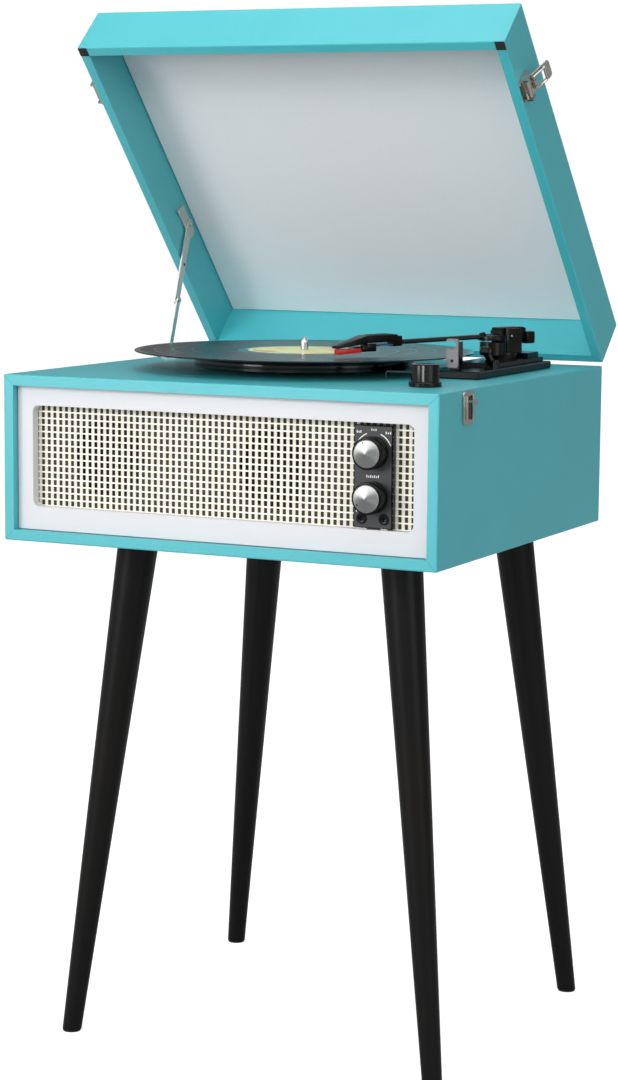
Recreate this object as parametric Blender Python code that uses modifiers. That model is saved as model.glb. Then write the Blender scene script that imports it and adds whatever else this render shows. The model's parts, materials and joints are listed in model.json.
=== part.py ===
"""A suitcase record player standing on four splayed, tapered legs.

A wrapped wooden case carries the turntable on its top, a speaker grille and a control plate in
its front, and a hinged lid held open by a folding stay on the left and closed by two draw latches.

Metres, +Z up. The front faces -Y. Places are given from the middle of the case, at floor level,
and the whole player then shifts along Y by MIDDLE_SHIFT, so that the origin ends up under the
middle of the outline with the lid open. Names ending in _h are heights above the case's top.
"""

import math

import bmesh
import bpy
from mathutils import Matrix, Vector

# ---------------------------------------------------------------- driving dimensions
GAP = 0.0003  # between two pieces that touch
RUNNING_FIT = 0.0001  # radial clearance of a shaft in its bore

LEG_HEIGHT = 0.453
CASE_WIDTH = 0.406
CASE_DEPTH = 0.376
CASE_HEIGHT = 0.143
CASE_WALL = 0.0093
CASE_EDGE = 0.0012
LID_HEIGHT = 0.049
LID_WALL = 0.009
LID_BOARD = 0.0033
LID_SEAM = 0.001
LID_OPEN = math.radians(47.6)

FRONT_RECESS = 0.0075
PANEL_THICK = 0.009
PANEL_PLAY = 0.0006
GRILLE_WIDTH = 0.357
GRILLE_HEIGHT = 0.087
GRILLE_RISE = 0.0018
GRILLE_CORNER = 0.0055
CLOTH_THICK = 0.0008
CLOTH_MARGIN = 0.008
BAFFLE_THICK = 0.006
BACK_RECESS = 0.003
BACK_THICK = 0.005

PLATE_X = 0.1415
PLATE_WIDTH = 0.034
PLATE_HEIGHT = 0.0835
PLATE_THICK = 0.0062
KNOB_RADIUS = 0.0135
KNOB_DEPTH = 0.0125
KNOB_CAP = 0.004
KNOB_SHAFT = 0.003
FUNCTION_KNOB_DROP = 0.0505
VOLUME_KNOB_DROP = 0.0868
JACK_DROP = 0.1045
JACK_SPACING = 0.0200
JACK_FLANGE = 0.0046
JACK_BARREL = 0.0036
JACK_BORE = 0.0018

SPEAKER_RADIUS = 0.039
SPEAKER_DEPTH = 0.031
SPEAKER_X = (-0.110, 0.048)

RECORD_X = -0.0085
RECORD_RADIUS = 0.1505
RECORD_THICK = 0.0015
RECORD_TOP_H = 0.0174
SLIPMAT_RADIUS = 0.096
SLIPMAT_THICK = 0.0015
PLATTER_RADIUS = 0.098
PLATTER_CLEAR_H = 0.0035
PLATTER_SKIN = 0.002
DRIVE_RING_RADIUS = 0.072
SPINDLE_RADIUS = 0.0035
SPINDLE_TOP_H = 0.0292
BEARING_RADIUS = 0.008

MOTOR_RADIUS = 0.018
MOTOR_LENGTH = 0.024
MOTOR_SHAFT = 0.0012
MOTOR_BEARING = math.radians(135)
PULLEY_STEPS = (0.0045, 0.0061, 0.0092)
PULLEY_STEP_HEIGHT = 0.0023
BELT_THICK = 0.0006

PIVOT_X = 0.148
PIVOT_Y = 0.082
ARM_LENGTH = 0.180
ARM_HEADING = math.radians(-119.3)
ARM_AXIS_H = 0.0313
ARM_DROP = math.radians(1.25)
ARM_BASE_X = 0.149
ARM_BASE_WIDTH = 0.050
ARM_BASE_FRONT = -0.037
ARM_BASE_BACK = 0.133
ARM_BASE_THICK = 0.0065
ARM_STEP_THICK = 0.004
HOUSING_RADIUS = 0.0115
YOKE_PIN = 0.0015
DRUM_OUT = 0.0125  # from the swing axis to the middle of the drum under the tube
DRUM_CAP = 0.0135
TUBE_RADIUS = 0.0021
TUBE_END = 0.121
STYLUS_LIFT = 0.0015

REST_RADIUS = 0.1045
REST_HEADING = math.radians(-91.0)
CLIP_WIDTH = 0.011
CLIP_HOLE = 0.0036
CLIP_THICK = 0.0024
CLIP_BOTTOM = 0.0092
REST_BASE = 0.0050

SPEED_X = 0.163
SPEED_Y = -0.125
SPEED_RADIUS = 0.0117
SPEED_FLANGE = 0.0137
SPEED_HEIGHT = 0.0188
SPEED_LEVER = 0.035

HINGE_X = 0.125
HINGE_LEAF = 0.040
HINGE_LEAF_HEIGHT = 0.020
HINGE_LEAF_THICK = 0.0012
HINGE_KNUCKLE = 0.0022
HINGE_PIN = 0.0011

STAY_WALL_GAP = 0.0003
STAY_TOP = (0.1227, 0.1241)  # y and height above the case's top of the stay's pivot on the lid, lid open
STAY_FOOT = (0.0808, 0.006)  # the same of its pivot on the case
STAY_UPPER = 0.0756
STAY_UPPER_WIDTH = 0.0086
STAY_LOWER_WIDTH = 0.0062
STAY_BAR = 0.0014
STAY_PIN = 0.0018

LATCH_Y = -0.131
LATCH_WIDTH = 0.022
LATCH_SHEET = 0.0012
LATCH_AXIS_OUT = 0.0052
LATCH_AXIS_UP = 0.008
LATCH_LEVER = 0.029
LATCH_OPEN = math.radians(155)
BAIL_DROP = 0.007
BAIL_LENGTH = 0.0135
BAIL_WIRE = 0.0009

LEG_X = 0.1265
LEG_FRONT_Y = -0.087
LEG_BACK_Y = 0.163
LEG_SPLAY_X = 0.051
LEG_SPLAY_Y = 0.035
LEG_TOP_RADIUS = 0.0182
LEG_FOOT_RADIUS = 0.0085
LEG_PLATE = 0.044
LEG_PLATE_THICK = 0.0025

# ---------------------------------------------------------------- places that follow from them
CASE_BOTTOM = LEG_HEIGHT
CASE_TOP = CASE_BOTTOM + CASE_HEIGHT
HALF_WIDTH = CASE_WIDTH / 2
HALF_DEPTH = CASE_DEPTH / 2
INNER_X = HALF_WIDTH - CASE_WALL
INNER_BOTTOM = CASE_BOTTOM + CASE_WALL
INNER_TOP = CASE_TOP - CASE_WALL

HINGE_OUT = HINGE_KNUCKLE + GAP
HINGE_Y = HALF_DEPTH + HINGE_OUT
HINGE_Z = CASE_TOP + LID_SEAM / 2

PANEL_FRONT = -HALF_DEPTH + FRONT_RECESS
PANEL_BACK = PANEL_FRONT + PANEL_THICK
CLOTH_FRONT = PANEL_BACK + GAP
CLOTH_BACK = CLOTH_FRONT + CLOTH_THICK
BAFFLE_FRONT = CLOTH_BACK + GAP
BAFFLE_BACK = BAFFLE_FRONT + BAFFLE_THICK
GRILLE_Z = CASE_BOTTOM + CASE_HEIGHT / 2 + GRILLE_RISE
PLATE_BACK = CLOTH_FRONT - GAP
PLATE_FRONT = PLATE_BACK - PLATE_THICK
PLATE_Z = GRILLE_Z - 0.0005
KNOB_BACK = PLATE_FRONT - GAP
KNOB_FACE = KNOB_BACK - KNOB_DEPTH - KNOB_CAP
AMPLIFIER_Y = BAFFLE_BACK + 0.009

RECORD_TOP = CASE_TOP + RECORD_TOP_H
RECORD_UNDER = RECORD_TOP - RECORD_THICK
SLIPMAT_TOP = RECORD_UNDER - GAP
PLATTER_TOP = SLIPMAT_TOP - SLIPMAT_THICK - GAP
PLATTER_UNDER = CASE_TOP + PLATTER_CLEAR_H
HUB_BORE = SPINDLE_RADIUS + GAP

ARM_BASE_TOP = CASE_TOP + GAP + ARM_BASE_THICK
STEP_TOP = ARM_BASE_TOP + ARM_STEP_THICK
HOUSING_TOP = CASE_TOP + 0.0140
STYLUS_DROP = ARM_AXIS_H - RECORD_TOP_H - STYLUS_LIFT - ARM_LENGTH * math.sin(ARM_DROP)


def turn_about_x(point, angle):
    """A (y, z) pair turned by the right-hand rule about +X."""
    y, z = point
    return (y * math.cos(angle) - z * math.sin(angle), y * math.sin(angle) + z * math.cos(angle))


LID_CORNER = turn_about_x((-HINGE_OUT, LID_SEAM / 2 + LID_HEIGHT), -LID_OPEN)
REAR_REACH = HINGE_Y + LID_CORNER[0]
MIDDLE_SHIFT = -(REAR_REACH + KNOB_FACE) / 2

STAY_TOP_CLOSED = turn_about_x(
    (STAY_TOP[0] - HINGE_Y, CASE_TOP + STAY_TOP[1] - HINGE_Z), LID_OPEN
)
STAY_RUN = Vector((STAY_FOOT[0] - STAY_TOP[0], STAY_FOOT[1] - STAY_TOP[1]))
STAY_LOWER = STAY_RUN.length - STAY_UPPER
STAY_LEAN = math.atan2(-STAY_RUN[0], -STAY_RUN[1])
STAY_WALL_X = -HALF_WIDTH + LID_WALL + STAY_WALL_GAP
STAY_UPPER_X = STAY_WALL_X + LATCH_SHEET + GAP
STAY_LOWER_X = STAY_UPPER_X + STAY_BAR + GAP

# ---------------------------------------------------------------- clearing and collections
for old in list(bpy.data.objects):
    bpy.data.objects.remove(old, do_unlink=True)

PARTS = bpy.data.collections.new("suitcase_record_player")
CUTTERS = bpy.data.collections.new("cutters")
bpy.context.scene.collection.children.link(PARTS)
bpy.context.scene.collection.children.link(CUTTERS)


def finish(name, colour, roughness, metallic=0.0):
    """A plain Principled material of one colour."""
    made = bpy.data.materials.new(name)
    made.use_nodes = True
    shader = made.node_tree.nodes["Principled BSDF"]
    shader.inputs["Base Color"].default_value = (*colour, 1.0)
    shader.inputs["Roughness"].default_value = roughness
    shader.inputs["Metallic"].default_value = metallic
    return made


TURQUOISE = finish("turquoise_leatherette", (0.13, 0.55, 0.58), 0.55)
WHITE_PANEL = finish("white_lacquer", (0.84, 0.85, 0.87), 0.35)
CLOTH = finish("cream_cloth", (0.78, 0.75, 0.66), 0.85)
LINING = finish("grey_lining", (0.60, 0.62, 0.64), 0.7)
BOARD = finish("raw_board", (0.35, 0.24, 0.14), 0.8)
BLACK_PLASTIC = finish("black_plastic", (0.012, 0.012, 0.013), 0.3)
NICKEL = finish("nickel_plate", (0.72, 0.71, 0.69), 0.18, 1.0)
STEEL = finish("steel", (0.55, 0.55, 0.56), 0.3, 1.0)
BRASS = finish("brass", (0.70, 0.52, 0.22), 0.3, 1.0)
VINYL = finish("black_vinyl", (0.01, 0.01, 0.011), 0.25)
RUBBER = finish("black_rubber", (0.02, 0.02, 0.02), 0.8)
RED_PLASTIC = finish("red_plastic", (0.75, 0.03, 0.02), 0.25)
GREY_PLASTIC = finish("grey_plastic", (0.28, 0.27, 0.28), 0.45)
GREEN_BOARD = finish("circuit_board", (0.03, 0.20, 0.08), 0.5)
PAPER_CONE = finish("paper_cone", (0.03, 0.03, 0.03), 0.9)
BLACK_LACQUER = finish("black_lacquer", (0.015, 0.014, 0.014), 0.4)


def joint_frame(name, location, rotation=(0, 0, 0), parent=None):
    """An empty that stands at a joint or a group's reference point."""
    frame = bpy.data.objects.new(name, None)
    frame.empty_display_size = 0.02
    frame.location = location
    frame.rotation_euler = rotation
    frame.parent = parent
    PARTS.objects.link(frame)
    return frame


def place(name, mesh, paint, parent, location=(0, 0, 0), rotation=(0, 0, 0)):
    """One visible sub-part, placed from its parent's frame."""
    made = bpy.data.objects.new(name, mesh)
    mesh.materials.append(paint)
    made.location = location
    made.rotation_euler = rotation
    made.parent = parent
    PARTS.objects.link(made)
    return made


def reshape(target, mesh, operation):
    """Joins a mesh to the target, or cuts it away, in the target's own frame."""
    tool = bpy.data.objects.new(f"{target.name}_{operation.lower()}", mesh)
    tool.parent = target
    tool.hide_render = True
    tool.display_type = "WIRE"
    CUTTERS.objects.link(tool)
    change = target.modifiers.new(operation.lower(), "BOOLEAN")
    change.operation = operation
    change.object = tool


def join(target, *meshes):
    for mesh in meshes:
        reshape(target, mesh, "UNION")


def cut(target, *meshes):
    for mesh in meshes:
        reshape(target, mesh, "DIFFERENCE")


def mesh_from(shape, name):
    bmesh.ops.recalc_face_normals(shape, faces=shape.faces)
    mesh = bpy.data.meshes.new(name)
    shape.to_mesh(mesh)
    shape.free()
    return mesh


def block(low, high, round_along=None, radius=0.0, steps=3):
    """A box between two corners. Edges along round_along ('X', 'Y', 'Z' or 'ALL') can be rounded."""
    low, high = Vector(low), Vector(high)
    shape = bmesh.new()
    bmesh.ops.create_cube(shape, size=1.0)
    bmesh.ops.scale(shape, vec=high - low, verts=shape.verts)
    bmesh.ops.translate(shape, vec=(low + high) / 2, verts=shape.verts)
    if round_along:
        axis = None if round_along == "ALL" else "XYZ".index(round_along)
        edges = [
            edge
            for edge in shape.edges
            if axis is None
            or abs((edge.verts[1].co - edge.verts[0].co).normalized()[axis]) > 0.99
        ]
        bmesh.ops.bevel(
            shape, geom=edges, offset=radius, segments=steps, profile=0.5, affect="EDGES"
        )
    return mesh_from(shape, "block")


def rod(start, end, radius, end_radius=None, sides=16):
    """A round bar, or a cone, from one point to another."""
    start, end = Vector(start), Vector(end)
    shape = bmesh.new()
    bmesh.ops.create_cone(
        shape,
        cap_ends=True,
        segments=sides,
        radius1=radius,
        radius2=radius if end_radius is None else end_radius,
        depth=(end - start).length,
    )
    turn = (end - start).to_track_quat("Z", "Y").to_matrix().to_4x4()
    bmesh.ops.transform(
        shape, matrix=Matrix.Translation((start + end) / 2) @ turn, verts=shape.verts
    )
    mesh = mesh_from(shape, "rod")
    smooth(mesh)
    return mesh


def smooth(mesh, angle=35):
    mesh.shade_smooth()
    mesh.set_sharp_from_angle(angle=math.radians(angle))


def turned(name, profile, paint, parent, location, rotation=(0, 0, 0), steps=32, ring=False):
    """A turned piece. The profile holds (radius, height) pairs that run down its outer side; a
    ring's profile comes back up its inner side."""
    shape = bmesh.new()
    points = [shape.verts.new((radius, 0, height)) for radius, height in profile]
    for first, second in zip(points, points[1:]):
        shape.edges.new((first, second))
    if ring:
        shape.edges.new((points[-1], points[0]))
    mesh = bpy.data.meshes.new(name)
    shape.to_mesh(mesh)
    shape.free()
    made = place(name, mesh, paint, parent, location, rotation)
    screw = made.modifiers.new("turn", "SCREW")
    screw.steps = screw.render_steps = steps
    screw.use_merge_vertices = True
    screw.merge_threshold = 0.00001
    screw.use_smooth_shade = True
    return made


def wire(name, points, radius, paint, parent, location=(0, 0, 0), rotation=(0, 0, 0), loop=False):
    """A bent wire along the given points."""
    curve = bpy.data.curves.new(name, "CURVE")
    curve.dimensions = "3D"
    curve.bevel_depth = radius
    curve.bevel_resolution = 2
    curve.use_fill_caps = not loop
    line = curve.splines.new("POLY")
    line.points.add(len(points) - 1)
    for point, at in zip(line.points, points):
        point.co = (*at, 1)
    line.use_cyclic_u = loop
    return place(name, curve, paint, parent, location, rotation)


FRONTWARDS = (math.pi / 2, 0, 0)  # turns a piece's +Z to face the front
PLAYER = joint_frame("player", (0, MIDDLE_SHIFT, 0))


# ---------------------------------------------------------------- case
def build_case():
    shell = place(
        "case_shell",
        block(
            (-HALF_WIDTH, -HALF_DEPTH, CASE_BOTTOM),
            (HALF_WIDTH, HALF_DEPTH, CASE_TOP),
            "ALL",
            CASE_EDGE,
            2,
        ),
        TURQUOISE,
        PLAYER,
    )
    cut(
        shell,
        block(
            (-INNER_X, -CASE_DEPTH, INNER_BOTTOM),
            (INNER_X, CASE_DEPTH, INNER_TOP),
        ),
    )
    under, over = INNER_TOP - CASE_WALL, CASE_TOP + CASE_WALL
    for x, y, radius in (
        (RECORD_X, 0, BEARING_RADIUS + GAP),
        (*motor_place(), PULLEY_STEPS[-1] + 0.003),
        (PIVOT_X, PIVOT_Y, 0.0060),
        (SPEED_X, SPEED_Y, KNOB_SHAFT + 0.0008),
    ):
        cut(shell, rod((x, y, under), (x, y, over), radius, sides=20))

    back_y = HALF_DEPTH - BACK_RECESS
    back = place(
        "back_panel",
        block(
            (-INNER_X + PANEL_PLAY, back_y - BACK_THICK, INNER_BOTTOM + PANEL_PLAY),
            (INNER_X - PANEL_PLAY, back_y, INNER_TOP - PANEL_PLAY),
        ),
        BLACK_PLASTIC,
        PLAYER,
    )
    slots, slot_pitch, slot_half, slot_high = 5, 0.010, 0.030, 0.0032
    for slot in range(slots):
        z = GRILLE_Z + (slot - (slots - 1) / 2) * slot_pitch
        cut(
            back,
            block(
                (-slot_half, back_y - 2 * BACK_THICK, z - slot_high / 2),
                (slot_half, back_y + BACK_THICK, z + slot_high / 2),
            ),
        )
    build_rear_sockets(back, back_y)


def build_rear_sockets(back, back_y):
    """Two line-out sockets and the inlet of the mains adapter, in one moulded block."""
    x, z = SOCKETS_X, SOCKETS_Z
    width, height, depth, lip = 0.056, 0.018, 0.014, 0.0016
    front = back_y + GAP
    sockets = place(
        "rear_sockets",
        block(
            (x - width / 2, front, z - height / 2),
            (x + width / 2, front + lip, z + height / 2),
            "Y",
            0.003,
        ),
        BLACK_PLASTIC,
        PLAYER,
    )
    neck = 0.004  # how much smaller the body is that passes through the panel
    join(
        sockets,
        block(
            (x - width / 2 + neck, front - depth, z - height / 2 + neck),
            (x + width / 2 - neck, front + lip / 2, z + height / 2 - neck),
        ),
    )
    cut(
        back,
        block(
            (x - width / 2 + neck - GAP, back_y - depth, z - height / 2 + neck - GAP),
            (x + width / 2 - neck + GAP, back_y + depth, z + height / 2 - neck + GAP),
        ),
    )
    barrel, bore, stand = 0.0042, 0.0016, 0.0085
    for offset in (-0.017, 0.001):
        start = (x + offset, front + lip / 2, z)
        end = (x + offset, front + lip + stand, z)
        join(sockets, rod(start, end, barrel))
        cut(sockets, rod(start, (x + offset, front + 2 * stand, z), bore, sides=12))
    inlet_x, inlet, pin, inlet_depth = x + 0.018, 0.0029, 0.0010, 0.010
    bottom = (inlet_x, front + lip - inlet_depth, z)
    cut(sockets, rod(bottom, (inlet_x, front + stand, z), inlet))
    join(
        sockets,
        rod((inlet_x, bottom[1] - 0.001, z), (inlet_x, front + lip - 0.001, z), pin, sides=10),
    )


SOCKETS_X = 0.115
SOCKETS_Z = CASE_BOTTOM + 0.040


# ---------------------------------------------------------------- front: panel, grille, controls
def build_front():
    inside = (INNER_X - PANEL_PLAY, INNER_BOTTOM + PANEL_PLAY, INNER_TOP - PANEL_PLAY)
    half, low, high = inside
    panel = place(
        "front_panel",
        block((-half, PANEL_FRONT, low), (half, PANEL_BACK, high)),
        WHITE_PANEL,
        PLAYER,
    )
    cut(
        panel,
        block(
            (-GRILLE_WIDTH / 2, PANEL_FRONT - PANEL_THICK, GRILLE_Z - GRILLE_HEIGHT / 2),
            (GRILLE_WIDTH / 2, PANEL_BACK + PANEL_THICK, GRILLE_Z + GRILLE_HEIGHT / 2),
            "Y",
            GRILLE_CORNER,
            5,
        ),
    )
    cloth = place(
        "grille_cloth",
        block(
            (-GRILLE_WIDTH / 2 - CLOTH_MARGIN, CLOTH_FRONT, GRILLE_Z - GRILLE_HEIGHT / 2 - CLOTH_MARGIN),
            (GRILLE_WIDTH / 2 + CLOTH_MARGIN, CLOTH_BACK, GRILLE_Z + GRILLE_HEIGHT / 2 + CLOTH_MARGIN),
        ),
        CLOTH,
        PLAYER,
    )
    baffle = place(
        "baffle_board",
        block((-half, BAFFLE_FRONT, low), (half, BAFFLE_BACK, high)),
        BOARD,
        PLAYER,
    )
    window = block(
        (PLATE_X - PLATE_WIDTH / 2 + 0.002, PANEL_FRONT, PLATE_Z - PLATE_HEIGHT / 2 + 0.002),
        (PLATE_X + PLATE_WIDTH / 2 - 0.002, BAFFLE_BACK + 0.01, PLATE_Z + PLATE_HEIGHT / 2 - 0.002),
    )
    cut(cloth, window)
    cut(baffle, window)

    for side, x in zip(("left", "right"), SPEAKER_X):
        opening = SPEAKER_RADIUS - 0.004
        cut(
            baffle,
            rod((x, PANEL_BACK, GRILLE_Z), (x, BAFFLE_BACK + 0.01, GRILLE_Z), opening, sides=28),
        )
        turned(
            f"speaker_{side}",
            (
                (0, -0.012),
                (0.009, -0.0135),
                (0.011, -0.0165),
                (SPEAKER_RADIUS - 0.007, -0.0030),
                (SPEAKER_RADIUS - 0.005, 0),
                (SPEAKER_RADIUS, 0),
                (SPEAKER_RADIUS, -0.0020),
                (SPEAKER_RADIUS - 0.008, -0.0080),
                (0.021, -0.0190),
                (0.021, -SPEAKER_DEPTH),
                (0, -SPEAKER_DEPTH),
            ),
            PAPER_CONE,
            PLAYER,
            (x, BAFFLE_BACK + GAP, GRILLE_Z),
            FRONTWARDS,
            steps=28,
        )


def build_controls():
    left, right = PLATE_X - PLATE_WIDTH / 2, PLATE_X + PLATE_WIDTH / 2
    plate = place(
        "control_plate",
        block(
            (left, PLATE_FRONT, PLATE_Z - PLATE_HEIGHT / 2),
            (right, PLATE_BACK, PLATE_Z + PLATE_HEIGHT / 2),
            "Y",
            0.0012,
            2,
        ),
        BLACK_PLASTIC,
        PLAYER,
    )
    board = place(
        "amplifier_board",
        block(
            (left - 0.012, AMPLIFIER_Y, PLATE_Z - PLATE_HEIGHT / 2),
            (right + 0.006, AMPLIFIER_Y + 0.0016, PLATE_Z + PLATE_HEIGHT / 2),
        ),
        GREEN_BOARD,
        PLAYER,
    )
    into = AMPLIFIER_Y + 0.0008
    join(
        board,
        block((left - 0.008, into, PLATE_Z - 0.030), (left + 0.010, into + 0.020, PLATE_Z + 0.020)),
    )
    pot_front = BAFFLE_FRONT + 0.002
    for name, drop in (("function_knob", FUNCTION_KNOB_DROP), ("volume_knob", VOLUME_KNOB_DROP)):
        z = CASE_TOP - drop
        join(
            board,
            block((PLATE_X - 0.006, pot_front, z - 0.006), (PLATE_X + 0.006, into, z + 0.006)),
        )
        cut(
            board,
            rod(
                (PLATE_X, KNOB_BACK, z),
                (PLATE_X, pot_front + 0.005, z),
                KNOB_SHAFT + 2 * RUNNING_FIT,
            ),
        )
        cut(
            plate,
            rod((PLATE_X, KNOB_FACE, z), (PLATE_X, CLOTH_BACK, z), KNOB_SHAFT + 0.0006),
        )
        # a fluted skirt with a coned face, and the shaft that it drives
        knob = turned(
            name,
            (
                (0, KNOB_DEPTH + KNOB_CAP),
                (0.0105, KNOB_DEPTH + KNOB_CAP - 0.0012),
                (0.0115, KNOB_DEPTH),
                (KNOB_RADIUS - 0.0006, KNOB_DEPTH - 0.0004),
                (KNOB_RADIUS, KNOB_DEPTH - 0.0012),
                (KNOB_RADIUS, 0),
                (KNOB_SHAFT, 0),
                (KNOB_SHAFT, -(pot_front + 0.0045 - KNOB_BACK)),
                (0, -(pot_front + 0.0045 - KNOB_BACK)),
            ),
            BLACK_PLASTIC,
            PLAYER,
            (PLATE_X, KNOB_BACK, z),
            FRONTWARDS,
            steps=28,
        )
        pointer = block((-0.0005, 0, KNOB_DEPTH), (0.0005, 0.0105, KNOB_DEPTH + KNOB_CAP))
        cut(knob, pointer)
    for name, side in (("headphone_jack", -1), ("aux_jack", 1)):
        x, z = PLATE_X + side * JACK_SPACING / 2, CASE_TOP - JACK_DROP
        cut(
            plate,
            rod((x, KNOB_FACE, z), (x, CLOTH_BACK, z), JACK_BARREL + GAP),
        )
        depth = PLATE_THICK + 0.0065
        turned(
            name,
            (
                (JACK_BORE, 0.0009),
                (JACK_FLANGE - 0.0005, 0.0009),
                (JACK_FLANGE, 0.0004),
                (JACK_FLANGE, 0),
                (JACK_BARREL, 0),
                (JACK_BARREL, -depth),
                (JACK_BORE, -depth),
            ),
            NICKEL,
            PLAYER,
            (x, KNOB_BACK, z),
            FRONTWARDS,
            steps=16,
            ring=True,
        )


# ---------------------------------------------------------------- drive: motor, belt, platter
def motor_place():
    """The motor stands between the platter's drive ring and its rim."""
    reach = DRIVE_RING_RADIUS + PULLEY_STEPS[-1] + 0.0022
    return (
        RECORD_X + reach * math.cos(MOTOR_BEARING),
        reach * math.sin(MOTOR_BEARING),
    )


def build_drive():
    x, y = motor_place()
    can_top = INNER_TOP - GAP
    motor = turned(
        "motor",
        (
            (0, can_top),
            (MOTOR_RADIUS - 0.001, can_top),
            (MOTOR_RADIUS, can_top - 0.001),
            (MOTOR_RADIUS, can_top - MOTOR_LENGTH),
            (0, can_top - MOTOR_LENGTH),
        ),
        STEEL,
        PLAYER,
        (x, y, 0),
        steps=24,
    )
    socket = can_top - 0.010
    cut(motor, rod((x * 0, 0, socket), (0, 0, CASE_TOP), MOTOR_SHAFT + 2 * RUNNING_FIT))

    low = PLATTER_UNDER + 0.0008
    shaft_low = socket + 0.001
    profile = [(0, low + 3 * PULLEY_STEP_HEIGHT)]
    for number, radius in enumerate(PULLEY_STEPS):
        top = low + (3 - number) * PULLEY_STEP_HEIGHT
        profile += [(radius, top), (radius, top - PULLEY_STEP_HEIGHT)]
    profile += [(MOTOR_SHAFT, low), (MOTOR_SHAFT, shaft_low), (0, shaft_low)]
    turned("motor_pulley", profile, BRASS, PLAYER, (x, y, 0), steps=20)

    bearing_low = INNER_TOP - 0.012
    turned(
        "platter_bearing",
        (
            (SPINDLE_RADIUS + RUNNING_FIT, CASE_TOP + 0.0022),
            (BEARING_RADIUS - 0.001, CASE_TOP + 0.0022),
            (BEARING_RADIUS, CASE_TOP + 0.0012),
            (BEARING_RADIUS, bearing_low),
            (SPINDLE_RADIUS + RUNNING_FIT, bearing_low),
        ),
        BRASS,
        PLAYER,
        (RECORD_X, 0, 0),
        steps=24,
        ring=True,
    )
    turned(
        "spindle",
        (
            (0, CASE_TOP + SPINDLE_TOP_H),
            (0.0014, CASE_TOP + SPINDLE_TOP_H - 0.0003),
            (0.0028, CASE_TOP + SPINDLE_TOP_H - 0.0018),
            (SPINDLE_RADIUS, CASE_TOP + SPINDLE_TOP_H - 0.0045),
            (SPINDLE_RADIUS, bearing_low - 0.002),
            (0, bearing_low - 0.002),
        ),
        STEEL,
        PLAYER,
        (RECORD_X, 0, 0),
        steps=24,
    )
    roof = PLATTER_TOP - PLATTER_SKIN
    hub = 0.013
    turned(
        "platter",
        (
            (HUB_BORE, PLATTER_TOP),
            (PLATTER_RADIUS - 0.002, PLATTER_TOP),
            (PLATTER_RADIUS, PLATTER_TOP - 0.0015),
            (PLATTER_RADIUS, PLATTER_UNDER),
            (PLATTER_RADIUS - PLATTER_SKIN, PLATTER_UNDER),
            (PLATTER_RADIUS - PLATTER_SKIN, roof),
            (DRIVE_RING_RADIUS, roof),
            (DRIVE_RING_RADIUS, PLATTER_UNDER + 0.0004),
            (DRIVE_RING_RADIUS - 0.0025, PLATTER_UNDER + 0.0004),
            (DRIVE_RING_RADIUS - 0.0025, roof),
            (hub, roof),
            (hub, PLATTER_UNDER),
            (HUB_BORE, PLATTER_UNDER),
        ),
        BLACK_PLASTIC,
        PLAYER,
        (RECORD_X, 0, 0),
        steps=48,
        ring=True,
    )
    turned(
        "slipmat",
        (
            (HUB_BORE, SLIPMAT_TOP),
            (SLIPMAT_RADIUS, SLIPMAT_TOP),
            (SLIPMAT_RADIUS, SLIPMAT_TOP - SLIPMAT_THICK),
            (HUB_BORE, SLIPMAT_TOP - SLIPMAT_THICK),
        ),
        RUBBER,
        PLAYER,
        (RECORD_X, 0, 0),
        steps=48,
        ring=True,
    )
    edge = 0.0004
    turned(
        "record",
        (
            (HUB_BORE, RECORD_TOP),
            (RECORD_RADIUS - edge, RECORD_TOP),
            (RECORD_RADIUS, RECORD_TOP - edge),
            (RECORD_RADIUS, RECORD_UNDER + edge),
            (RECORD_RADIUS - edge, RECORD_UNDER),
            (HUB_BORE, RECORD_UNDER),
        ),
        VINYL,
        PLAYER,
        (RECORD_X, 0, 0),
        steps=72,
        ring=True,
    )
    build_belt(x, y, low + 2.5 * PULLEY_STEP_HEIGHT)


def build_belt(x, y, z):
    """A flat belt round the drive ring and the pulley's top step."""
    large = DRIVE_RING_RADIUS + GAP
    small = PULLEY_STEPS[0] + GAP
    reach = math.hypot(x - RECORD_X, y)
    heading = math.atan2(y, x - RECORD_X)
    curve = bpy.data.curves.new("drive_belt", "CURVE")
    curve.dimensions = "2D"
    curve.fill_mode = "BOTH"
    curve.extrude = PULLEY_STEP_HEIGHT / 2 - 0.0004
    for thick in (0, BELT_THICK):
        big, little = large + thick, small + thick
        wrap = math.acos((big - little) / reach)
        points = []
        around = 40
        for step in range(around + 1):
            angle = wrap + (2 * math.pi - 2 * wrap) * step / around
            points.append((big * math.cos(angle), big * math.sin(angle)))
        around = 8
        for step in range(around + 1):
            angle = -wrap + 2 * wrap * step / around
            points.append((reach + little * math.cos(angle), little * math.sin(angle)))
        line = curve.splines.new("POLY")
        line.points.add(len(points) - 1)
        for point, at in zip(line.points, points):
            point.co = (*at, 0, 1)
        line.use_cyclic_u = True
    place("drive_belt", curve, RUBBER, PLAYER, (RECORD_X, 0, z), (0, 0, heading))


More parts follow.
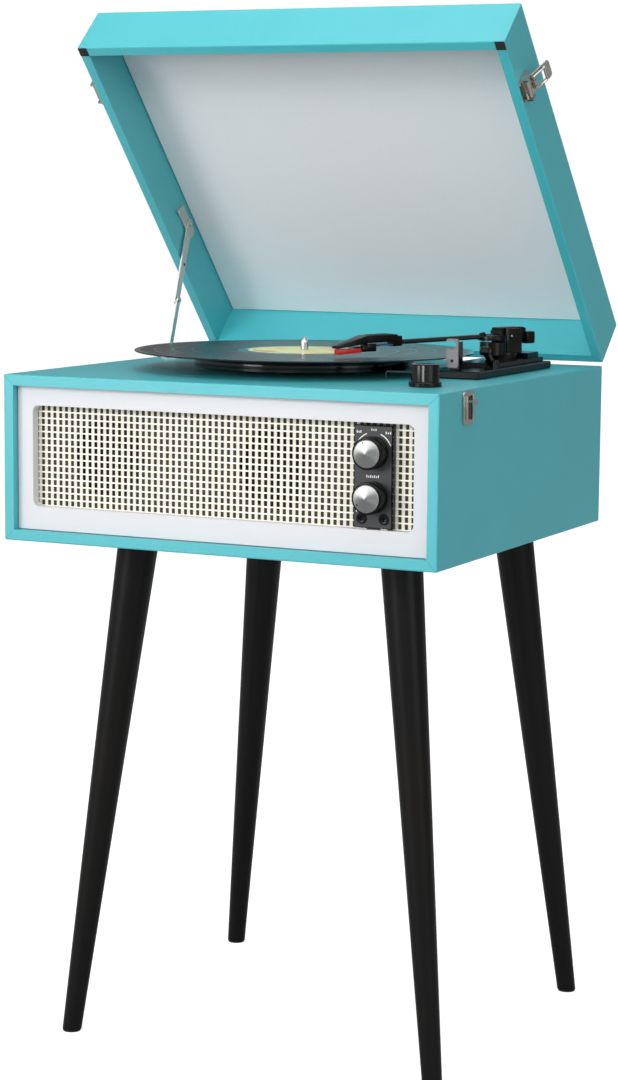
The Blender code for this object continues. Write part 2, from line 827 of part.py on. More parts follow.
# ---------------------------------------------------------------- tonearm
def build_arm_base():
    left, right = ARM_BASE_X - ARM_BASE_WIDTH / 2, ARM_BASE_X + ARM_BASE_WIDTH / 2
    base = place(
        "arm_base",
        block(
            (left, ARM_BASE_FRONT, CASE_TOP + GAP),
            (right, ARM_BASE_BACK, ARM_BASE_TOP),
            "ALL",
            0.0010,
            1,
        ),
        BLACK_PLASTIC,
        PLAYER,
    )
    sink = 0.001  # how far the joined shapes reach into each other
    inset = 0.005
    join(
        base,
        block(
            (left + inset, ARM_BASE_FRONT + 0.055, ARM_BASE_TOP - sink),
            (right - inset, ARM_BASE_BACK - inset, STEP_TOP),
            "Z",
            0.003,
            2,
        ),
        rod((PIVOT_X, PIVOT_Y, STEP_TOP - sink), (PIVOT_X, PIVOT_Y, HOUSING_TOP), HOUSING_RADIUS, sides=24),
        block(
            (PIVOT_X - 0.004, PIVOT_Y + HOUSING_RADIUS + 0.001 + 3 * GAP, STEP_TOP - sink),
            (PIVOT_X + 0.018, ARM_BASE_BACK - 0.012, HOUSING_TOP + 0.0015),
        ),
    )
    shaft = YOKE_SHAFT
    cut(base, rod((PIVOT_X, PIVOT_Y, CASE_TOP - 0.01), (PIVOT_X, PIVOT_Y, HOUSING_TOP + 0.01), shaft + RUNNING_FIT))
    ear, ear_gap = 0.002, CUE_WIDTH / 2 + GAP
    for side in (-1, 1):
        near = CUE_X + side * ear_gap
        far = near + side * ear
        join(
            base,
            block(
                (min(near, far), CUE_Y - 0.004, ARM_BASE_TOP - sink),
                (max(near, far), CUE_Y + 0.004, CUE_Z + 0.003),
            ),
        )
    cut(base, rod((CUE_X - 0.01, CUE_Y, CUE_Z), (CUE_X + 0.01, CUE_Y, CUE_Z), CUE_PIN + RUNNING_FIT, sides=12))

    # the lever that raises the arm leans forwards at rest
    lever = place(
        "cue_lever",
        block((-CUE_WIDTH / 2, -0.0022, -0.0022), (CUE_WIDTH / 2, 0.0022, CUE_LENGTH), "ALL", 0.0006, 1),
        BLACK_PLASTIC,
        PLAYER,
        (CUE_X, CUE_Y, CUE_Z),
        (CUE_LEAN, 0, 0),
    )
    pin_half = CUE_WIDTH / 2 + ear
    join(
        lever,
        rod((-pin_half, 0, 0), (pin_half, 0, 0), CUE_PIN, sides=12),
        block((-0.0045, -0.0030, CUE_LENGTH - 0.005), (0.0045, 0.0030, CUE_LENGTH + 0.001), "ALL", 0.001, 1),
    )


YOKE_SHAFT = 0.0035
CUE_X = ARM_BASE_X + ARM_BASE_WIDTH / 2 - 0.0068
CUE_Y = 0.008
CUE_Z = ARM_BASE_TOP + 0.0045
CUE_WIDTH = 0.0050
CUE_LENGTH = 0.021
CUE_PIN = 0.0012
CUE_LEAN = math.radians(52)


def build_arm():
    swing = joint_frame("arm_swing_axis", (PIVOT_X, PIVOT_Y, CASE_TOP), (0, 0, ARM_HEADING), PLAYER)
    lift = joint_frame("arm_lift_axis", (0, 0, ARM_AXIS_H), (0, ARM_DROP, 0), swing)

    # a turret with two cheeks that carry the arm's cross pin
    disc_low = HOUSING_TOP - CASE_TOP + GAP
    disc_high = disc_low + 0.0028
    cheek_in, cheek_out, cheek_back, cheek_front = 0.0085, 0.0112, -0.0125, 0.0055
    cheek_top = ARM_AXIS_H + 0.0070
    cap_low, cap_high = -TUBE_RADIUS - GAP - 0.0010, 0.0040
    drum_top = ARM_AXIS_H + cap_low - (DRUM_OUT + DRUM_CAP) * math.sin(ARM_DROP + math.radians(0.5)) - GAP
    yoke = place(
        "arm_yoke",
        rod((0, 0, disc_low), (0, 0, disc_high), HOUSING_RADIUS + 0.001, sides=24),
        BLACK_PLASTIC,
        swing,
    )
    join(
        yoke,
        rod((0, 0, -0.012), (0, 0, disc_low + 0.001), YOKE_SHAFT),
        rod(
            (DRUM_OUT, 0, disc_low),
            (DRUM_OUT, 0, drum_top),
            HOUSING_RADIUS,
            sides=32,
        ),
    )
    for side in (-1, 1):
        near, far = side * cheek_in, side * cheek_out
        join(
            yoke,
            block(
                (cheek_back, min(near, far), disc_high - 0.001),
                (cheek_front, max(near, far), cheek_top),
                "Y",
                0.003,
                2,
            ),
        )
    cut(yoke, rod((0, -0.02, ARM_AXIS_H), (0, 0.02, ARM_AXIS_H), YOKE_PIN + RUNNING_FIT, sides=12))

    arm = place(
        "arm_block",
        block((-0.0202, -0.0068, cap_low), (DRUM_OUT, 0.0068, 0.0075), "X", 0.001, 2),
        BLACK_PLASTIC,
        lift,
    )
    cap = rod((DRUM_OUT, 0, cap_low), (DRUM_OUT, 0, cap_high), DRUM_CAP, sides=32)
    join(arm, cap)
    # the cap is cut back beside the cheeks, then the pin goes through both
    side_low, side_high = cheek_in - 0.0006, DRUM_CAP + 0.001
    cut(
        arm,
        rod((0.0100, 0, 0), (0.0300, 0, 0), TUBE_RADIUS + GAP),
        block((-0.002, side_low, -0.02), (cheek_front + 0.001, side_high, 0.02)),
        block((-0.002, -side_high, -0.02), (cheek_front + 0.001, -side_low, 0.02)),
    )
    join(
        arm,
        rod((0, -cheek_out, 0), (0, cheek_out, 0), YOKE_PIN, sides=12),
        block((-0.0286, -0.0095, -0.0080), (-0.0190, 0.0095, 0.0030), "X", 0.002, 2),
    )
    tube_start = 0.0105
    place(
        "arm_tube",
        rod((tube_start, 0, 0), (TUBE_END, 0, 0), TUBE_RADIUS, sides=14),
        BLACK_LACQUER,
        lift,
    )

    # the head: a socket for the tube, a raised back, and a nose that slopes down over the cartridge
    back_low, back_high, back_end = 0.0010, 0.0078, 0.1540
    tip_low, tip_high, tip_x = -0.0027, -0.0003, 0.1835
    head = place(
        "headshell",
        block((0.1150, -0.0052, -0.0034), (0.1250, 0.0052, 0.0058), "X", 0.001, 2),
        BLACK_PLASTIC,
        lift,
    )
    nose = bmesh.new()
    bmesh.ops.create_cube(nose, size=1.0)
    for vert in nose.verts:
        at_tip, above = vert.co.x > 0, vert.co.z > 0
        vert.co.x = tip_x if at_tip else back_end - 0.002
        vert.co.y *= 0.0092 if at_tip else 0.0150
        vert.co.z = (tip_high if above else tip_low) if at_tip else (back_high if above else back_low)
    join(
        head,
        block((0.1215, -0.0075, back_low), (back_end, 0.0075, back_high)),
        mesh_from(nose, "nose"),
    )
    cut(head, rod((0.1100, 0, 0), (TUBE_END + 0.001, 0, 0), TUBE_RADIUS + GAP, sides=14))

    stylus_h = -STYLUS_DROP / math.cos(ARM_DROP)
    # the cartridge hangs under the back, with a tongue under the nose that takes the needle holder
    cartridge_low = stylus_h + 0.0019
    tongue_low = tip_low + 0.0001
    cartridge = place(
        "cartridge",
        block((0.1430, -0.0055, cartridge_low), (0.1582, 0.0055, back_low - 2 * GAP)),
        BLACK_PLASTIC,
        lift,
    )
    cut(cartridge, block((back_end - 0.002, -0.01, tongue_low + 0.0012), (0.1700, 0.01, 0.004)))
    join(cartridge, block((0.1570, -0.0050, tongue_low), (0.1660, 0.0050, tongue_low + 0.0012)))

    # the needle holder: a wedge that tapers to the tip
    wedge = bmesh.new()
    bmesh.ops.create_cube(wedge, size=1.0)
    holder_top, holder_low = tongue_low - GAP, stylus_h + 0.0008
    holder_back, holder_front = 0.1582 + GAP, 0.1822
    for vert in wedge.verts:
        at_tip, above = vert.co.x > 0, vert.co.z > 0
        vert.co.x = holder_front if at_tip else holder_back
        vert.co.y *= 0.0062 if at_tip else 0.0100
        vert.co.z = holder_top if above else holder_low + (0 if at_tip else 0.0008)
    stylus = place("stylus", mesh_from(wedge, "needle_holder"), RED_PLASTIC, lift)
    join(
        stylus,
        rod((ARM_LENGTH - 0.003, 0, stylus_h), (ARM_LENGTH - 0.003, 0, holder_top - 0.002), 0.0003, 0.0008, sides=10),
    )


def build_arm_rest():
    x = PIVOT_X + REST_RADIUS * math.cos(REST_HEADING)
    y = PIVOT_Y + REST_RADIUS * math.sin(REST_HEADING)
    tube_h = ARM_AXIS_H - REST_RADIUS * math.sin(ARM_DROP)
    hole_h = tube_h - 0.0006
    cradle_h = tube_h - TUBE_RADIUS - 0.0024
    base_top = CASE_TOP + 0.0090
    post = place(
        "arm_rest_post",
        rod((x, y, CASE_TOP + ARM_BASE_THICK + 2 * GAP), (x, y, base_top), REST_BASE, sides=20),
        BLACK_PLASTIC,
        PLAYER,
    )
    front, wall_x = y - REST_BASE, x + TUBE_RADIUS + 0.0008
    join(
        post,
        block((x - 0.0035, front, base_top - 0.001), (wall_x + 0.0026, y + 0.0030, CASE_TOP + cradle_h)),
        block(
            (wall_x, front, CASE_TOP + cradle_h - 0.002),
            (wall_x + 0.0026, y + 0.0030, CASE_TOP + tube_h + TUBE_RADIUS),
        ),
    )
    # an upright clip in front of the cradle, open on the side of the record
    hinge_h, pin = 0.0150, 0.0013
    clip_back = -REST_BASE - GAP
    pin_end = y + clip_back - CLIP_THICK
    join(post, rod((x, front + 0.001, CASE_TOP + hinge_h), (x, pin_end, CASE_TOP + hinge_h), pin, sides=12))
    clip = place(
        "arm_rest_clip",
        block(
            (-CLIP_WIDTH / 2, clip_back - CLIP_THICK, CLIP_BOTTOM - hinge_h),
            (CLIP_WIDTH / 2, clip_back, hole_h + CLIP_HOLE + 0.0017 - hinge_h),
            "Y",
            0.0018,
            2,
        ),
        GREY_PLASTIC,
        PLAYER,
        (x, y, CASE_TOP + hinge_h),
    )
    up = hole_h - hinge_h
    cut(
        clip,
        rod((0, -0.01, 0), (0, 0.01, 0), pin + RUNNING_FIT, sides=12),
        rod((0, -0.01, up), (0, 0.01, up), CLIP_HOLE, sides=16),
        block((-0.010, -0.010, up - CLIP_HOLE * 0.84), (0, 0.010, up + CLIP_HOLE * 0.84)),
    )




def build_speed_control():
    knob = turned(
        "speed_knob",
        (
            (0, SPEED_HEIGHT),
            (SPEED_RADIUS - 0.0010, SPEED_HEIGHT),
            (SPEED_RADIUS, SPEED_HEIGHT - 0.0010),
            (SPEED_RADIUS, 0.0046),
            (SPEED_FLANGE, 0.0040),
            (SPEED_FLANGE, GAP),
            (KNOB_SHAFT, GAP),
            (KNOB_SHAFT, -CASE_WALL - 0.006),
            (0, -CASE_WALL - 0.006),
        ),
        BLACK_PLASTIC,
        PLAYER,
        (SPEED_X, SPEED_Y, CASE_TOP),
        steps=32,
    )
    height, radius = 0.0112, 0.0007
    cut(knob, rod((-0.004, 0, height), (-0.02, 0, height), radius + 2 * RUNNING_FIT, sides=10))
    wire(
        "speed_lever",
        (
            (-0.0045, 0, height),
            (-SPEED_LEVER + 0.002, 0, height),
            (-SPEED_LEVER + 0.0006, 0, height - 0.0004),
            (-SPEED_LEVER, 0, height - 0.0018),
            (-SPEED_LEVER, 0, height - 0.0045),
        ),
        radius,
        STEEL,
        PLAYER,
        (SPEED_X, SPEED_Y, CASE_TOP),
    )


# ---------------------------------------------------------------- lid, hinges, stay, latches
def build_lid(lid):
    """The lid's pieces are placed as when it is closed, from the hinge axis; its frame opens it."""
    front = -CASE_DEPTH - HINGE_OUT
    rim = LID_SEAM / 2
    shell = place(
        "lid_shell",
        block(
            (-HALF_WIDTH, front, rim),
            (HALF_WIDTH, -HINGE_OUT, rim + LID_HEIGHT),
            "ALL",
            CASE_EDGE,
            2,
        ),
        TURQUOISE,
        lid,
    )
    roof = rim + LID_HEIGHT - LID_BOARD
    cut(
        shell,
        block(
            (-HALF_WIDTH + LID_WALL, front + LID_WALL, rim - LID_HEIGHT),
            (HALF_WIDTH - LID_WALL, -HINGE_OUT - LID_WALL, roof),
        ),
    )
    lining, play = 0.0012, 0.0010
    place(
        "lid_lining",
        block(
            (-HALF_WIDTH + LID_WALL + play, front + LID_WALL + play, roof - GAP - lining),
            (HALF_WIDTH - LID_WALL - play, -HINGE_OUT - LID_WALL - play, roof - GAP),
        ),
        LINING,
        lid,
    )


def build_hinges(lid):
    """A leaf on the case with the outer knuckles and the pin, and a leaf on the lid between them."""
    third = HINGE_LEAF / 3
    sheet = (-HINGE_KNUCKLE, -HINGE_KNUCKLE + HINGE_LEAF_THICK)
    edge = HINGE_KNUCKLE * 0.5
    for side, x in (("left", -HINGE_X), ("right", HINGE_X)):
        low = place(
            f"hinge_case_leaf_{side}",
            block(
                (-HINGE_LEAF / 2, sheet[0], -HINGE_LEAF_HEIGHT),
                (HINGE_LEAF / 2, sheet[1], -HINGE_KNUCKLE - GAP),
            ),
            NICKEL,
            PLAYER,
            (x, HINGE_Y, HINGE_Z),
        )
        for end in (-1, 1):
            inner, outer = end * (third / 2 + GAP), end * HINGE_LEAF / 2
            join(
                low,
                rod((inner, 0, 0), (outer, 0, 0), HINGE_KNUCKLE, sides=14),
                block(
                    (min(inner, outer), sheet[0], -HINGE_KNUCKLE - 0.001),
                    (max(inner, outer), sheet[1], -edge * 0),
                ),
            )
        join(low, rod((-third, 0, 0), (third, 0, 0), HINGE_PIN, sides=12))
        high = place(
            f"hinge_lid_leaf_{side}",
            block(
                (-HINGE_LEAF / 2, sheet[0], HINGE_KNUCKLE + GAP),
                (HINGE_LEAF / 2, sheet[1], HINGE_LEAF_HEIGHT),
            ),
            NICKEL,
            lid,
            (x, 0, 0),
        )
        middle = third / 2 - GAP
        join(
            high,
            rod((-middle, 0, 0), (middle, 0, 0), HINGE_KNUCKLE, sides=14),
            block((-middle, sheet[0], 0), (middle, sheet[1], HINGE_KNUCKLE + 0.001)),
        )
        cut(high, rod((-third, 0, 0), (third, 0, 0), HINGE_PIN + RUNNING_FIT, sides=12))


def build_stay(lid):
    """A folding stay on the left: its two bars stand in line while the lid is open."""
    y, z = STAY_TOP_CLOSED
    bracket = place(
        "stay_lid_bracket",
        block(
            (STAY_WALL_X, y - 0.022, z - 0.0075),
            (STAY_WALL_X + LATCH_SHEET, y + 0.014, z + 0.0045),
            "X",
            0.004,
            3,
        ),
        NICKEL,
        lid,
    )
    bar_reach = STAY_UPPER_X + STAY_BAR + 0.0012
    join(bracket, rod((STAY_WALL_X + 0.0006, y, z), (bar_reach, y, z), STAY_PIN))
    upper_frame = joint_frame("stay_upper_axis", (0, y, z), (LID_OPEN - STAY_LEAN, 0, 0), lid)
    upper = place(
        "stay_upper_arm",
        block(
            (STAY_UPPER_X, -STAY_UPPER_WIDTH / 2, -STAY_UPPER - STAY_UPPER_WIDTH / 2),
            (STAY_UPPER_X + STAY_BAR, STAY_UPPER_WIDTH / 2, STAY_UPPER_WIDTH / 2),
            "X",
            STAY_UPPER_WIDTH * 0.42,
            3,
        ),
        NICKEL,
        upper_frame,
    )
    cut(
        upper,
        rod((STAY_UPPER_X - 0.01, 0, 0), (STAY_UPPER_X + 0.01, 0, 0), STAY_PIN + RUNNING_FIT),
        rod((STAY_UPPER_X - 0.01, 0, -STAY_UPPER), (STAY_UPPER_X + 0.01, 0, -STAY_UPPER), STAY_PIN + 0.0006),
    )

    foot = joint_frame(
        "stay_foot_axis", (0, STAY_FOOT[0], CASE_TOP + STAY_FOOT[1]), (-STAY_LEAN, 0, 0), PLAYER
    )
    lower = place(
        "stay_lower_arm",
        block(
            (STAY_LOWER_X, -STAY_LOWER_WIDTH / 2, -STAY_LOWER_WIDTH / 2),
            (STAY_LOWER_X + STAY_BAR, STAY_LOWER_WIDTH / 2, STAY_LOWER + STAY_LOWER_WIDTH / 2),
            "X",
            STAY_LOWER_WIDTH * 0.42,
            3,
        ),
        NICKEL,
        foot,
    )
    join(
        lower,
        rod(
            (STAY_LOWER_X + STAY_BAR / 2, 0, STAY_LOWER),
            (STAY_LOWER_X + STAY_BAR + 0.0012, 0, STAY_LOWER),
            STAY_PIN * 1.4,
        ),
    )
    cut(
        lower,
        rod((STAY_LOWER_X - 0.01, 0, 0), (STAY_LOWER_X + 0.01, 0, 0), STAY_PIN + RUNNING_FIT),
    )
    base_y, base_z = STAY_FOOT[0], CASE_TOP + STAY_FOOT[1]
    ear_x = STAY_LOWER_X - GAP - LATCH_SHEET
    case_bracket = place(
        "stay_case_bracket",
        block(
            (ear_x, base_y - 0.013, CASE_TOP + GAP),
            (ear_x + 0.016, base_y + 0.013, CASE_TOP + GAP + LATCH_SHEET),
        ),
        NICKEL,
        PLAYER,
    )
    join(
        case_bracket,
        block(
            (ear_x, base_y - 0.0045, CASE_TOP + GAP),
            (ear_x + LATCH_SHEET, base_y + 0.0045, base_z + 0.0040),
        ),
        rod((ear_x + 0.0004, base_y, base_z), (STAY_LOWER_X + STAY_BAR + 0.0008, base_y, base_z), STAY_PIN),
    )


def build_latches(lid):
    """Draw latches on both sides. Each one's plate, lever and bail are on the lid, its catch on the
    case. They are placed as when the lid is closed, and the lever's frame swings it open."""
    half = LATCH_WIDTH / 2
    sheet = LATCH_SHEET
    for side, mirror in (("left", -1), ("right", 1)):

        def out(low, high):
            """A box given by its distances out from the side of the player."""
            xs = sorted((mirror * low[0], mirror * high[0]))
            return (xs[0], *low[1:]), (xs[1], *high[1:])

        catch = place(
            f"catch_plate_{side}",
            block(*out((GAP, -half, -0.0285), (GAP + sheet, half, -0.0015)), "X", 0.004, 3),
            NICKEL,
            PLAYER,
            (mirror * HALF_WIDTH, LATCH_Y, CASE_TOP),
        )
        hook_low = LID_SEAM + LATCH_AXIS_UP - BAIL_DROP - BAIL_LENGTH + BAIL_WIRE + GAP
        hook_half = 0.0048
        lip_out = LATCH_AXIS_OUT + BAIL_WIRE + 0.0003
        join(
            catch,
            block(*out((sheet / 2, -hook_half, hook_low), (lip_out + 0.0007, hook_half, hook_low + 0.0018))),
            block(*out((lip_out, -hook_half, hook_low - 0.0024), (lip_out + 0.0007, hook_half, hook_low + 0.001))),
        )

        frame = joint_frame(
            f"latch_frame_{side}", (mirror * HALF_WIDTH, LATCH_Y - HINGE_Y, LID_SEAM / 2), (0, 0, 0), lid
        )
        plate = place(
            f"latch_plate_{side}",
            block(*out((GAP, -half, 0.0012), (GAP + sheet, half, 0.0200)), "X", 0.003, 2),
            NICKEL,
            frame,
        )
        lug = 0.0018
        for end in (-1, 1):
            ys = sorted((end * (half - lug), end * half))
            join(
                plate,
                block(
                    *out(
                        (sheet / 2, ys[0], LATCH_AXIS_UP - 0.0035),
                        (LATCH_AXIS_OUT + 0.002, ys[1], LATCH_AXIS_UP + 0.0035),
                    )
                ),
            )
        axis = mirror * LATCH_AXIS_OUT
        cut(
            plate,
            rod((axis, -half * 2, LATCH_AXIS_UP), (axis, half * 2, LATCH_AXIS_UP), 0.0008 + RUNNING_FIT, sides=10),
        )

        # the lever hangs down over the catch when shut; positive turns about its frame open it
        lever_frame = joint_frame(
            f"latch_lever_axis_{side}", (axis, 0, LATCH_AXIS_UP), (0, -mirror * LATCH_OPEN, 0), frame
        )
        inner = half - lug - 0.0004
        lever_low, lever_high = 0.0018, 0.0028
        lever = place(
            f"latch_lever_{side}",
            block(*out((lever_low, -inner, -LATCH_LEVER), (lever_high, inner, 0.0014)), "X", 0.003, 2),
            NICKEL,
            lever_frame,
        )
        join(
            lever,
            rod((0, -inner, 0), (0, inner, 0), 0.0019, sides=14),
            block(*out((0, -inner, -0.0012), (lever_high, inner, 0.0012))),
            rod((0, -half, 0), (0, half, 0), 0.0008, sides=10),
        )
        ear_mid, ear_half = 0.0030, 0.0008
        for end in (-1, 1):
            join(
                lever,
                block(
                    *out(
                        (-0.0018, end * ear_mid - ear_half, -BAIL_DROP - 0.0020),
                        (lever_high - 0.0004, end * ear_mid + ear_half, -BAIL_DROP + 0.0020),
                    )
                ),
            )
        cut(
            lever,
            block(*out((lever_low - 0.004, -inner + 0.003, -LATCH_LEVER + 0.005), (0.010, inner - 0.003, -BAIL_DROP - 0.004))),
            rod((0, -inner, -BAIL_DROP), (0, inner, -BAIL_DROP), BAIL_WIRE + RUNNING_FIT * 2, sides=10),
        )
        bail_half = hook_half + BAIL_WIRE + 0.0006
        corner = 0.0007
        wire(
            f"latch_bail_{side}",
            (
                (0, -bail_half + corner, 0),
                (0, bail_half - corner, 0),
                (0, bail_half, -corner),
                (0, bail_half, -BAIL_LENGTH + corner),
                (0, bail_half - corner, -BAIL_LENGTH),
                (0, -bail_half + corner, -BAIL_LENGTH),
                (0, -bail_half, -BAIL_LENGTH + corner),
                (0, -bail_half, -corner),
            ),
            BAIL_WIRE,
            NICKEL,
            lever_frame,
            (0, 0, -BAIL_DROP),
            loop=True,
        )


# ---------------------------------------------------------------- legs
def build_legs():
    top = CASE_BOTTOM - LEG_PLATE_THICK - 2 * GAP
    for end, y, back in (("front", LEG_FRONT_Y, -1), ("back", LEG_BACK_Y, 1)):
        for side, mirror in (("left", -1), ("right", 1)):
            x = mirror * LEG_X
            half = LEG_PLATE / 2
            place(
                f"leg_plate_{end}_{side}",
                block(
                    (x - half, y - half, top + GAP),
                    (x + half, y + half, CASE_BOTTOM - GAP),
                    "Z",
                    0.004,
                    2,
                ),
                STEEL,
                PLAYER,
            )
            splay = Vector((mirror * LEG_SPLAY_X, back * LEG_SPLAY_Y, -CASE_BOTTOM))
            beyond = 0.03  # the cone runs on past both ends and is cut level
            run = splay.normalized() * beyond
            taper = (LEG_TOP_RADIUS - LEG_FOOT_RADIUS) / splay.length * beyond
            crown = Vector((x, y, CASE_BOTTOM))
            leg = place(
                f"leg_{end}_{side}",
                rod(
                    crown + splay + run,
                    crown - run,
                    LEG_FOOT_RADIUS - taper,
                    LEG_TOP_RADIUS + taper,
                    sides=24,
                ),
                BLACK_LACQUER,
                PLAYER,
            )
            reach = 0.12
            cut(
                leg,
                block((x - reach, y - reach, top), (x + reach, y + reach, top + reach)),
                block((x - reach, y - reach, -reach), (x + reach, y + reach, 0)),
            )


build_case()
build_front()
build_controls()
build_drive()
build_arm_base()
build_arm()
build_arm_rest()
build_speed_control()
LID = joint_frame("lid_axis", (0, HINGE_Y, HINGE_Z), (-LID_OPEN, 0, 0), PLAYER)
build_lid(LID)
build_hinges(LID)
build_stay(LID)
build_latches(LID)
build_legs()
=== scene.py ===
"""The looks of a suitcase record player on four legs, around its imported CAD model."""

import json
import math

import bmesh
import bpy
from mathutils import Matrix, Vector


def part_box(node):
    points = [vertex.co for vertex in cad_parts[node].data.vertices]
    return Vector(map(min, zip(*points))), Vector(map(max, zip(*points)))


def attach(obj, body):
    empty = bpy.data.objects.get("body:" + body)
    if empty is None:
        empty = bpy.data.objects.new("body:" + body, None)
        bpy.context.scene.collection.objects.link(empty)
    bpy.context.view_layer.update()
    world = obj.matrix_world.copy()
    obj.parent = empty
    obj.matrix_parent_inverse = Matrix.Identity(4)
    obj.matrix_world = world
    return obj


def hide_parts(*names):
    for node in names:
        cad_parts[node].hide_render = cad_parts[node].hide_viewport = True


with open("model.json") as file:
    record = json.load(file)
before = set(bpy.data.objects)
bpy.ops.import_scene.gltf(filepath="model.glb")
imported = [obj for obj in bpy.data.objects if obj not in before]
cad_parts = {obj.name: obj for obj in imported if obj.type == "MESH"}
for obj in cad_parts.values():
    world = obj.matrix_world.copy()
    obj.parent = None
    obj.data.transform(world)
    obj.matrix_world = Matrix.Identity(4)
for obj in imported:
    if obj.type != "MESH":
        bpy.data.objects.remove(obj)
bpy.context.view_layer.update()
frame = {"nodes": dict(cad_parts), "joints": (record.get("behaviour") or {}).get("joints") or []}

# ---------------------------------------------------------------- camera
# A still-life camera with a long lens, a little above the deck and to the right of the front.
case_low, case_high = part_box("case_shell")
MIDDLE_Y = (case_low.y + case_high.y) / 2
DECK = case_high.z
CAMERA_FROM_MIDDLE = (1.0356, -2.1247, 0.1685)  # from the middle of the deck, in metres
CAMERA_TURN = math.radians(26.04)  # to the left of straight ahead
CAMERA_DIP = math.radians(7.725)
CAMERA_ROLL = 0.008
LENS_MM = 89.03

camera_data = bpy.data.cameras.new("camera")
camera_data.lens = LENS_MM
camera_data.sensor_width = 36.0
camera_data.clip_end = 50.0
camera = bpy.data.objects.new("camera", camera_data)
camera.matrix_world = (
    Matrix.Translation(Vector(CAMERA_FROM_MIDDLE) + Vector((0, MIDDLE_Y, DECK)))
    @ Matrix.Rotation(CAMERA_TURN, 4, "Z")
    @ Matrix.Rotation(math.pi / 2 - CAMERA_DIP, 4, "X")
    @ Matrix.Rotation(CAMERA_ROLL, 4, "Z")
)
bpy.context.scene.collection.objects.link(camera)
bpy.context.scene.camera = camera

# ---------------------------------------------------------------- studio
# A white seamless floor under broad soft light: a large panel from the front left, weaker ones
# from above and the right, a hooded one that looks into the lid, and a glow that is stronger in
# front than behind.
bpy.context.scene.view_settings.view_transform = "Standard"
FLOOR_RADIUS = 14.0
GLOW_FRONT = 0.82
GLOW_BACK = 0.27
BACKDROP = 1.02  # the glow as the camera sees it
FLOOR_GLOW = 0.76  # added for the camera only, so that the paper is seen near white
PANELS = {
    "main_panel": {"at": (-1.75, -3.3, 1.35), "size": 1.3, "watts": 55.0},
    "top_panel": {"at": (0.2, -0.3, 3.2), "size": 2.4, "watts": 26.0},
    "right_panel": {"at": (3.2, -1.3, 1.2), "size": 1.8, "watts": 12.0},
    "lid_panel": {"at": (0.3, -2.3, 1.75), "size": 0.8, "watts": 0.8, "aim": 0.86, "spread": 26.0},
}


def linear_colour(sheet_value):
    """An sRGB hex value, such as "4EAEB5", as a linear RGBA colour."""
    channels = [int(sheet_value[start : start + 2], 16) / 255 for start in (0, 2, 4)]
    linear = [
        channel / 12.92 if channel <= 0.04045 else ((channel + 0.055) / 1.055) ** 2.4
        for channel in channels
    ]
    return (*linear, 1.0)


def add_node(tree, kind, inputs=None, **settings):
    """Adds a node, with its settings, and its inputs as values or as links from other sockets."""
    made = tree.nodes.new(kind)
    for name, value in settings.items():
        setattr(made, name, value)
    for socket, value in (inputs or {}).items():
        if isinstance(value, bpy.types.NodeSocket):
            tree.links.new(value, made.inputs[socket])
        else:
            made.inputs[socket].default_value = value
    return made


def calculate(tree, operation, *values):
    """The result of a math node on numbers or sockets."""
    inputs = dict(enumerate(values))
    return add_node(tree, "ShaderNodeMath", inputs, operation=operation).outputs[0]


def start_material(name, **shader_inputs):
    """A new material with a Principled shader. Returns the material, its tree and the shader."""
    made = bpy.data.materials.new(name)
    made.use_nodes = True
    tree = made.node_tree
    shader = tree.nodes["Principled BSDF"]
    for socket, value in shader_inputs.items():
        shader.inputs[socket.replace("_", " ")].default_value = value
    return made, tree, shader


world = bpy.data.worlds.new("studio")
world.use_nodes = True
bpy.context.scene.world = world
sky = world.node_tree
glow = sky.nodes["Background"]
direction = add_node(sky, "ShaderNodeTexCoord")
apart = add_node(sky, "ShaderNodeSeparateXYZ", {"Vector": direction.outputs["Generated"]})
falloff = add_node(
    sky,
    "ShaderNodeMapRange",
    {
        "Value": apart.outputs["Y"],
        "From Min": -0.6,
        "From Max": 0.5,
        "To Min": GLOW_FRONT,
        "To Max": GLOW_BACK,
    },
    interpolation_type="SMOOTHSTEP",
)
sky.links.new(falloff.outputs["Result"], glow.inputs["Strength"])
white = add_node(sky, "ShaderNodeBackground", {"Color": (1, 1, 1, 1), "Strength": BACKDROP})
glow.inputs["Color"].default_value = (0.97, 0.985, 1.0, 1)
seen = add_node(sky, "ShaderNodeLightPath")
both = add_node(
    sky,
    "ShaderNodeMixShader",
    {0: seen.outputs["Is Camera Ray"], 1: glow.outputs[0], 2: white.outputs[0]},
)
sky.links.new(both.outputs[0], sky.nodes["World Output"].inputs["Surface"])

for light_name, panel in PANELS.items():
    lamp = bpy.data.lights.new(light_name, "AREA")
    lamp.shape = "SQUARE"
    lamp.size = panel["size"]
    lamp.energy = panel["watts"]
    lamp.spread = math.radians(panel.get("spread", 180.0))
    holder = bpy.data.objects.new(light_name, lamp)
    bpy.context.scene.collection.objects.link(holder)
    holder.location = panel["at"]
    aim = Vector((0, 0, panel.get("aim", 0.6))) - Vector(panel["at"])
    holder.rotation_euler = aim.to_track_quat("-Z", "Y").to_euler()

